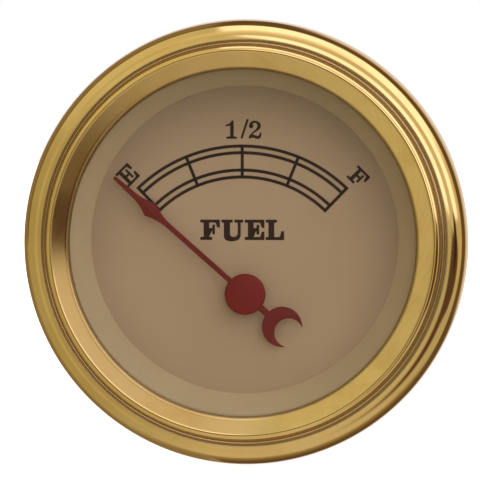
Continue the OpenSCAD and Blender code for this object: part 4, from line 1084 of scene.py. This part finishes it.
def thread_tree():
    """Threaded rod along z: the grid follows the thread, so its crests stay crisp."""
    columns, rows_a_turn, close = 32, 8.0, 0.0001
    tree, given, result = new_group("Thread", {
        "Radius": STUD_R, "Depth": 0.42, "Pitch": 0.79375, "Start": 0.0, "End": 6.0, "Point": 0.45,
    }, ["Mesh"], makes_mesh=True)
    radius, pitch, start, end = (given[name] for name in ("Radius", "Pitch", "Start", "End"))
    turns = plus(calc("CEIL", over(less(end, start), pitch)), 2.0)
    rows = plus(times(turns, rows_a_turn), 1.0)
    grid = add(tree, "GeometryNodeMeshGrid", {
        "Size X": 1.0, "Size Y": 1.0, "Vertices X": columns + 1, "Vertices Y": rows})
    x, y, _ = parts(add(tree, "GeometryNodeInputPosition").outputs[0])
    share = plus(x, 0.5)
    turn = times(plus(y, 0.5), turns)
    free = plus(start, times(less(plus(turn, share), 2.0), pitch))
    z = calc("MINIMUM", calc("MAXIMUM", free, start), end)
    wave = calc("ABSOLUTE", less(times(calc("FRACT", plus(turn, close)), 2.0), 1.0))
    dip = calc("SUBTRACT", times(wave, 1.25), 0.125, clamp=True)
    to_end = calc("MINIMUM", less(z, start), less(end, z))
    taper = plus(less(radius, given["Point"]), to_end)
    side = calc("MINIMUM", less(radius, times(dip, given["Depth"])), taper)
    closing = calc("COMPARE", calc("ABSOLUTE", y), 0.5, close)
    right, up = turned(times(side, less(1.0, closing)), times(share, 2 * math.pi))
    rod = reshaped(tree, grid.outputs[0], right, up, z)
    merged = add(tree, "GeometryNodeMergeByDistance", {"Geometry": rod, "Distance": 0.0005})
    feed(result, Mesh=merged.outputs[0])
    return tree


def flute_tree():
    """Takes evenly spaced round flutes out of a turned part."""
    tree, given, result = new_group("Flutes", {
        "Mesh": "NodeSocketGeometry", "Count": 12, "Axis X": 0.0, "Axis Y": 0.0, "Away": 5.15,
        "Flute radius": 0.8, "From": 0.0, "To": 1.0, "First": 0.0,
    }, ["Mesh"], makes_mesh=True)
    tool = add(tree, "GeometryNodeMeshCylinder", {
        "Vertices": 32, "Radius": given["Flute radius"], "Depth": less(given["To"], given["From"])})
    points = add(tree, "GeometryNodePoints", {"Count": given["Count"], "Position": (0, 0, 0)})
    share = over(add(tree, "GeometryNodeInputIndex").outputs[0], given["Count"])
    right, up = turned(given["Away"], plus(given["First"], times(share, 2 * math.pi)))
    ring = reshaped(tree, points.outputs[0], plus(given["Axis X"], right), plus(given["Axis Y"], up),
                    over(plus(given["From"], given["To"]), 2.0))
    tools = add(tree, "GeometryNodeInstanceOnPoints", {"Points": ring, "Instance": tool.outputs[0]})
    real = add(tree, "GeometryNodeRealizeInstances", {0: tools.outputs[0]})
    fluted = add(tree, "GeometryNodeMeshBoolean", {"Mesh 1": given["Mesh"], "Mesh 2": real.outputs[0]},
                 operation="DIFFERENCE")
    feed(result, Mesh=fluted.outputs[0])
    return tree


THREAD = thread_tree()
FLUTES = flute_tree()


def threaded(x, y, start, end):
    """Object of a threaded rod that stands at x, y between two heights."""
    piece = grown("rod", THREAD, Start=start, End=end)
    piece.data.transform(Matrix.Translation((x, y, 0)))
    return piece


def fluted(name, form, x, y, **values):
    """Form with flutes round an axis at x, y, standing in the frame."""
    piece = grown(name, FLUTES, mesh_of(form, name), Axis_X=x, Axis_Y=y, **values)
    piece.data.transform(STAND)
    return piece


def terminal_stud(node):
    """Stud with a hexagon head on the board and a thread from the board to its end."""
    x, y = middle(node)
    box = span(node)
    head_corner_r, shank_r, shank_back = 3.46, 1.83, -42.0
    head_back, overlap = box.front - 2.4, 0.01
    form = prism(hexagon(x, y, head_corner_r), head_back, box.front)
    lathe([(0, shank_back), (shank_r, shank_back), (shank_r, head_back + overlap), (0, head_back + overlap)],
          at=(x, y), segments=48, closed=False, form=form)
    parts_of_stud = [loose(form, "shank"), threaded(x, y, box.back, shank_back + 0.2)]
    return settle(merge_into(node + "_threaded", parts_of_stud), [node])


def clamp_studs():
    """Two threaded studs that are fixed in the case's back."""
    box = span("clamp_studs")
    base_r, base_back, shank_back = 3.5, box.front - 0.8, -35.2
    pieces = []
    for node in CLAMP_NUTS:
        x, y = middle(node)
        form = lathe(rounded([
            (0, box.front, 0), (base_r, box.front, 0.15), (base_r, base_back, 0.1), (STUD_R, base_back, 0),
            (STUD_R, shank_back, 0), (0, shank_back, 0)
        ], closed=False), at=(x, y), segments=64, closed=False)
        pieces += [loose(form, "base"), threaded(x, y, box.back, shank_back + 0.2)]
    return settle(merge_into("clamp_studs_threaded", pieces), ["clamp_studs"])


def thumb_nut(node):
    """Brass thumb nut: neck, fluted grip and plain bore."""
    x, y = middle(node)
    box = span(node)
    grip_r, neck_r, grip_front = 4.8, 4.0, box.front - 0.8
    form = lathe(rounded([
        (STUD_HOLE_R, box.front, 0.15), (neck_r, box.front, 0.15), (neck_r, grip_front, 0.1),
        (grip_r, grip_front, 0.3), (grip_r, box.back, 0.4), (STUD_HOLE_R, box.back, 0.2)
    ]), at=(x, y), segments=96)
    piece = fluted(node + "_fluted", form, x, y, Count=12, Away=grip_r + 0.35, Flute_radius=0.8,
                   From=box.back - 1.0, To=grip_front + 0.001)
    return settle(break_edges(piece, 0.06), [node])


def lamp_socket():
    """Black lamp socket: barrel, flange, fluted grip, wedge slot and two lugs."""
    x, y = middle("lamp_bulb")
    box = span("lamp_socket")
    barrel, flange = 5.9, 7.6
    flange_front, flange_back = CASE.back, CASE.back - 1.4
    form = lathe(rounded([
        (0, box.front, 0), (barrel, box.front, 0.3), (barrel, flange_front, 0.05),
        (flange, flange_front, 0.2), (flange, flange_back, 0.3), (barrel, flange_back, 0.4),
        (barrel, box.back, 0.5), (0, box.back, 0)
    ], closed=False), at=(x, y), segments=96, closed=False)
    piece = fluted("lamp_socket_grip", form, x, y, Count=8, Away=barrel + 0.5, Flute_radius=1.3,
                   From=box.back - 1.0, To=flange_back - 0.8, First=math.radians(22.5))
    half_w, half_h, slot_back = 4.65, 1.1, box.front - 6.1
    corners = [(x - half_w, y - half_h), (x + half_w, y - half_h),
               (x + half_w, y + half_h), (x - half_w, y + half_h)]
    cut(piece, [as_object(prism(corners, slot_back, box.front + 1), "cutter")])
    lugs = bmesh.new()
    lug_start, lug_end, lug_half, lug_back, lug_front = 5.6, 7.1, 1.5, -33.95, -32.9
    cosine, sine = math.cos(math.radians(60)), math.sin(math.radians(60))
    for side in (-1, 1):
        corners = [(side * lug_start, -lug_half), (side * lug_end, -lug_half), (side * lug_end, lug_half),
                   (side * lug_start, lug_half)]
        prism([(x + a * cosine - b * sine, y + a * sine + b * cosine) for a, b in corners],
              lug_back, lug_front, form=lugs)
    merged = merge_into("lamp_socket_moulding", [piece, as_object(lugs, "lugs")], drawn=False)
    return settle(break_edges(merged, 0.08), ["lamp_socket"])


def hexagon_nuts(name, node, places, turn):
    """Chamfered hexagon nuts with a countersunk bore."""
    box = span(node)
    corner_r, bore, sink = 8.73 / 2 / math.cos(math.radians(30)), 1.88, 0.35
    face_r, side_r, chamfer = corner_r - 0.65, corner_r + 0.02, 0.38
    nuts = []
    for x, y in places:
        form = lathe([
            (bore, box.back + sink), (bore + sink, box.back),
            (face_r, box.back), (side_r, box.back + chamfer),
            (side_r, box.front - chamfer), (face_r, box.front),
            (bore + sink, box.front), (bore, box.front - sink)
        ], at=(x, y), segments=96)
        flats = prism(hexagon(x, y, corner_r, turn), box.back - 1, box.front + 1)
        nuts.append(cut(loose(form, "blank"), [loose(flats, "flats")], operation="INTERSECT"))
    return settle(break_edges(merge_into(name, nuts), 0.05, angle=25), [node])


def softened(node):
    """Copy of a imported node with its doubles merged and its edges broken."""
    piece = put(node + "_broken_edges", frame["nodes"][node].data.copy())
    return settle(break_edges(piece, 0.08), [node])


# Room and light

def room_direction(group, clock):
    """Where a ray points: its angle off the gauge's axis, its clock angle, and how far that is past another."""
    x, y, z = parts(add(group, "ShaderNodeTexCoord").outputs["Generated"])
    off, own_clock = calc("ARCCOSINE", times(y, -1.0)), calc("ARCTAN2", x, z)
    past = less(own_clock, clock)
    return off, own_clock, calc("ARCTAN2", calc("SINE", past), calc("COSINE", past))


def make_light_window():
    """Soft-edged patch of the room, by its clock direction and its angle off the gauge's axis."""
    group, given, result = new_group("Light window", {
        "clock": 0.0, "half": 0.5, "side": 0.05, "near": 0.3, "far": 1.2, "soft": 0.05, "slant": 0.0,
    }, ["Mask"])
    straight, _, past = room_direction(group, given["clock"])
    off = plus(straight, times(past, given["slant"]))
    half, side, near, far, soft = (given[name] for name in ("half", "side", "near", "far", "soft"))
    within = remap(calc("ABSOLUTE", past), plus(half, side), less(half, side))
    begun = remap(off, less(near, soft), plus(near, soft))
    not_ended = remap(off, plus(far, soft), less(far, soft))
    feed(result, Mask=times(within, begun, not_ended))
    return group


def make_dark_shape():
    """Rounded patch of the room, by its clock direction and its angle off the gauge's axis."""
    group, given, result = new_group("Dark shape", {
        "clock": 0.0, "off": 1.0, "half clock": 0.3, "half off": 0.2, "start": 0.0, "soft": 0.1,
    }, ["Mask"])
    straight, clock, past = room_direction(group, given["clock"])
    across = over(past, given["half clock"])
    along = over(less(straight, given["off"]), given["half off"])
    away = calc("SQRT", plus(times(across, across), times(along, along)))
    mask = remap(away, plus(1.0, given["soft"]), less(1.0, given["soft"]))
    begun = remap(less(clock, given["start"]), -0.02, 0.02)
    feed(result, Mask=times(mask, begun))
    return group


# One patch of the room round the gauge: its middle and half width by the clock, how soft its sides are, where
# it begins and ends off the axis, how soft it ends there, its slant, its light and how much it covers
Patch = namedtuple("Patch", "clock half side near far soft slant colour share")
ROOM = rgb(0.50, 0.47, 0.40)
PATCHES = [
    # the left is dimmer and greener, the upper left brighter
    Patch(262, 46, 22, 0, 190, 5, 0, rgb(0.42, 0.38, 0.26), 1.0),
    Patch(322, 24, 14, 0, 190, 5, 0, rgb(0.66, 0.62, 0.48), 1.0),
    Patch(170, 34, 14, 0, 190, 5, 0, rgb(0.60, 0.55, 0.50), 1.0),
    # a paler stripe on the left wall
    Patch(262, 76, 12, 37, 51, 6, 0, rgb(0.56, 0.50, 0.37), 0.8),
    # the camera's side is dark
    Patch(0, 190, 1, -10, 10, 4, 0, rgb(0.17, 0.12, 0.08), 1.0),
    # bright window at the upper right, with a duller bar across it
    Patch(37, 48, 1.5, 12, 94, 3, 0.03, rgb(1.45, 1.40, 1.75), 1.0),
    Patch(38.5, 50.5, 1.5, 31, 53, 3, 0, rgb(0.66, 0.60, 0.55), 1.0),
    Patch(2, 24, 14, 46, 62, 5, -0.1, rgb(0.84, 0.76, 0.62), 0.8),
    Patch(82, 20, 9, 76, 125, 6, 0, rgb(0.60, 0.50, 0.38), 0.9),
    # the far side of the room is brown, but for the left
    Patch(50, 142, 1.5, 97, 190, 4, 0, rgb(0.13, 0.085, 0.05), 1.0),
    Patch(270, 78, 3, 104, 190, 10, 0, rgb(0.26, 0.20, 0.12), 1.0),
    Patch(170, 40, 12, 84, 110, 8, 0, rgb(0.25, 0.18, 0.11), 0.8),
    Patch(62, 50, 8, 132, 190, 6, 0, rgb(0.62, 0.54, 0.50), 1.0),
    Patch(0, 190, 1, 154, 190, 3, 0, rgb(0.80, 0.72, 0.72), 1.0),
]

# Rounded dark shapes at the right: place by the clock and off the axis, half sizes, where they start by
# the clock, how soft their edge is, their light and how much they cover
Shape = namedtuple("Shape", "clock off half_clock half_off start soft colour share")
SHAPES = [
    Shape(114, 44, 36, 12, 90, 0.5, rgb(0.10, 0.04, 0.025), 0.97),
    Shape(102, 50, 14, 23, 90, 0.14, rgb(0.105, 0.062, 0.054), 1.0),
    Shape(92, 53, 9, 8, 60, 0.25, rgb(0.035, 0.025, 0.022), 1.0),
]


def room_layers(tree, group, rows, plain):
    """Colour layers of patches or shapes. Their values are degrees, but for the plain one."""
    layers = []
    for row in rows:
        values = row._asdict()
        colour, share = values.pop("colour"), values.pop("share")
        values = {key: value if key == plain else math.radians(value) for key, value in values.items()}
        layers.append((times(use_group(tree, group, **values)[0], share), colour))
    return layers


# Dull surfaces get more light from the room than the gold mirrors, and of a paler colour
DIFFUSE_GAIN, DIFFUSE_TINT, DIFFUSE_TINT_SHARE = 1.7, rgb(0.66, 0.62, 0.56), 0.5


def light_room():
    """White for the camera; for the object, a plain room with a bright window and dark shapes."""
    world = bpy.data.worlds.new("Room")
    bpy.context.scene.world = world
    world.use_nodes = True
    tree = world.node_tree
    tree.nodes.clear()
    layers = room_layers(tree, make_light_window(), PATCHES, "slant")
    layers += room_layers(tree, make_dark_shape(), SHAPES, "soft")
    rays = add(tree, "ShaderNodeLightPath").outputs
    strength = plus(times(rays["Is Diffuse Ray"], DIFFUSE_GAIN - 1.0), 1.0)
    layers.append((times(rays["Is Diffuse Ray"], DIFFUSE_TINT_SHARE), DIFFUSE_TINT))
    layers.append((rays["Is Camera Ray"], rgb(1.0, 1.0, 1.0)))
    sky = add(tree, "ShaderNodeBackground", {"Color": layered(ROOM, *layers), "Strength": strength})
    feed(add(tree, "ShaderNodeOutputWorld").inputs, Surface=sky.outputs[0])


# The lamp's direction by the clock and off the axis, in degrees, its distance and width, and its power
KEY_CLOCK, KEY_OFF, KEY_AWAY, KEY_SIZE, KEY_POWER = 45, 40, 0.5, 0.6, 0.46


def key_light():
    """Soft lamp at the upper right, which shades the recessed dial."""
    lamp_data = bpy.data.lights.new("key", "AREA")
    lamp_data.shape = "DISK"
    lamp_data.size = KEY_SIZE
    lamp_data.energy = KEY_POWER
    lamp = put("key", lamp_data)
    clock, off = math.radians(KEY_CLOCK), math.radians(KEY_OFF)
    way = Vector((math.sin(off) * math.sin(clock), -math.cos(off), math.sin(off) * math.cos(clock)))
    lamp.location = way * KEY_AWAY
    lamp.rotation_euler = way.to_track_quat("Z", "Y").to_euler()
    lamp.visible_glossy = False


def floor():
    """Pale floor just under the rim, which only the camera sees."""
    half, z = 3.0, cad_bounds[0][2] - 0.0002
    mesh = bpy.data.meshes.new("floor")
    corners = [(-half, -half, z), (half, -half, z), (half, half, z), (-half, half, z)]
    mesh.from_pydata(corners, [], [(0, 1, 2, 3)])
    ground = put("floor", mesh)
    material, tree, shader = new_material(
        "Pale floor", Roughness=0.9, Emission_Color=rgb(1.0, 1.0, 1.0), Emission_Strength=0.9)
    cloud = mottled(tree, 6.0, 90.0, 0.3)
    feed(shader.inputs, Base_Color=layered(rgb(0.86, 0.86, 0.86), (cloud, rgb(0.90, 0.90, 0.90))))
    mesh.materials.append(material)
    ground.visible_glossy = False
    ground.visible_diffuse = False
    ground.visible_transmission = False


CAMERA_AZIMUTH, CAMERA_ELEVATION = 4.4, 2.1
CAMERA_DISTANCE, CAMERA_TARGET = 0.45, (-0.00053, -0.003, 0.0004)
SENSOR_WIDTH, FRAME_WIDTH = 36.0, 0.0644


def camera():
    """Long lens, a little to the right of the axis and above it."""
    lens_data = bpy.data.cameras.new("camera")
    lens_data.sensor_width = SENSOR_WIDTH
    lens_data.lens = SENSOR_WIDTH * CAMERA_DISTANCE / FRAME_WIDTH
    lens_data.clip_start = 0.01
    eye = put("camera", lens_data)
    azimuth, elevation = math.radians(CAMERA_AZIMUTH), math.radians(CAMERA_ELEVATION)
    way = Vector((math.sin(azimuth) * math.cos(elevation), -math.cos(azimuth) * math.cos(elevation),
                  math.sin(elevation)))
    eye.location = Vector(CAMERA_TARGET) + way * CAMERA_DISTANCE
    eye.rotation_euler = way.to_track_quat("Z", "Y").to_euler()
    bpy.context.scene.camera = eye


def build():
    """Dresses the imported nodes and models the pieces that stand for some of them."""
    dress_nodes()
    bezel()
    lens()
    trim_ring()
    dial_scale()
    dial_words()
    pointer_blade()
    pointer_hub()
    case()
    for node in TERMINALS:
        terminal_stud(node)
    clamp_studs()
    for node in CLAMP_NUTS:
        thumb_nut(node)
    lamp_socket()
    places = [middle(node) for node in TERMINALS]
    hexagon_nuts("fixing_nuts", "terminal_fixing_nuts", places, 0)
    hexagon_nuts("wire_nuts", "terminal_wire_nuts", places, 12)
    for node in ("clamp_bracket", "clamp_washers", "terminal_lock_washers", "terminal_insulators",
                 "ground_washer", "lamp_tabs"):
        softened(node)


build()
light_room()
key_light()
floor()
camera()
bpy.context.scene.view_settings.view_transform = "Standard"
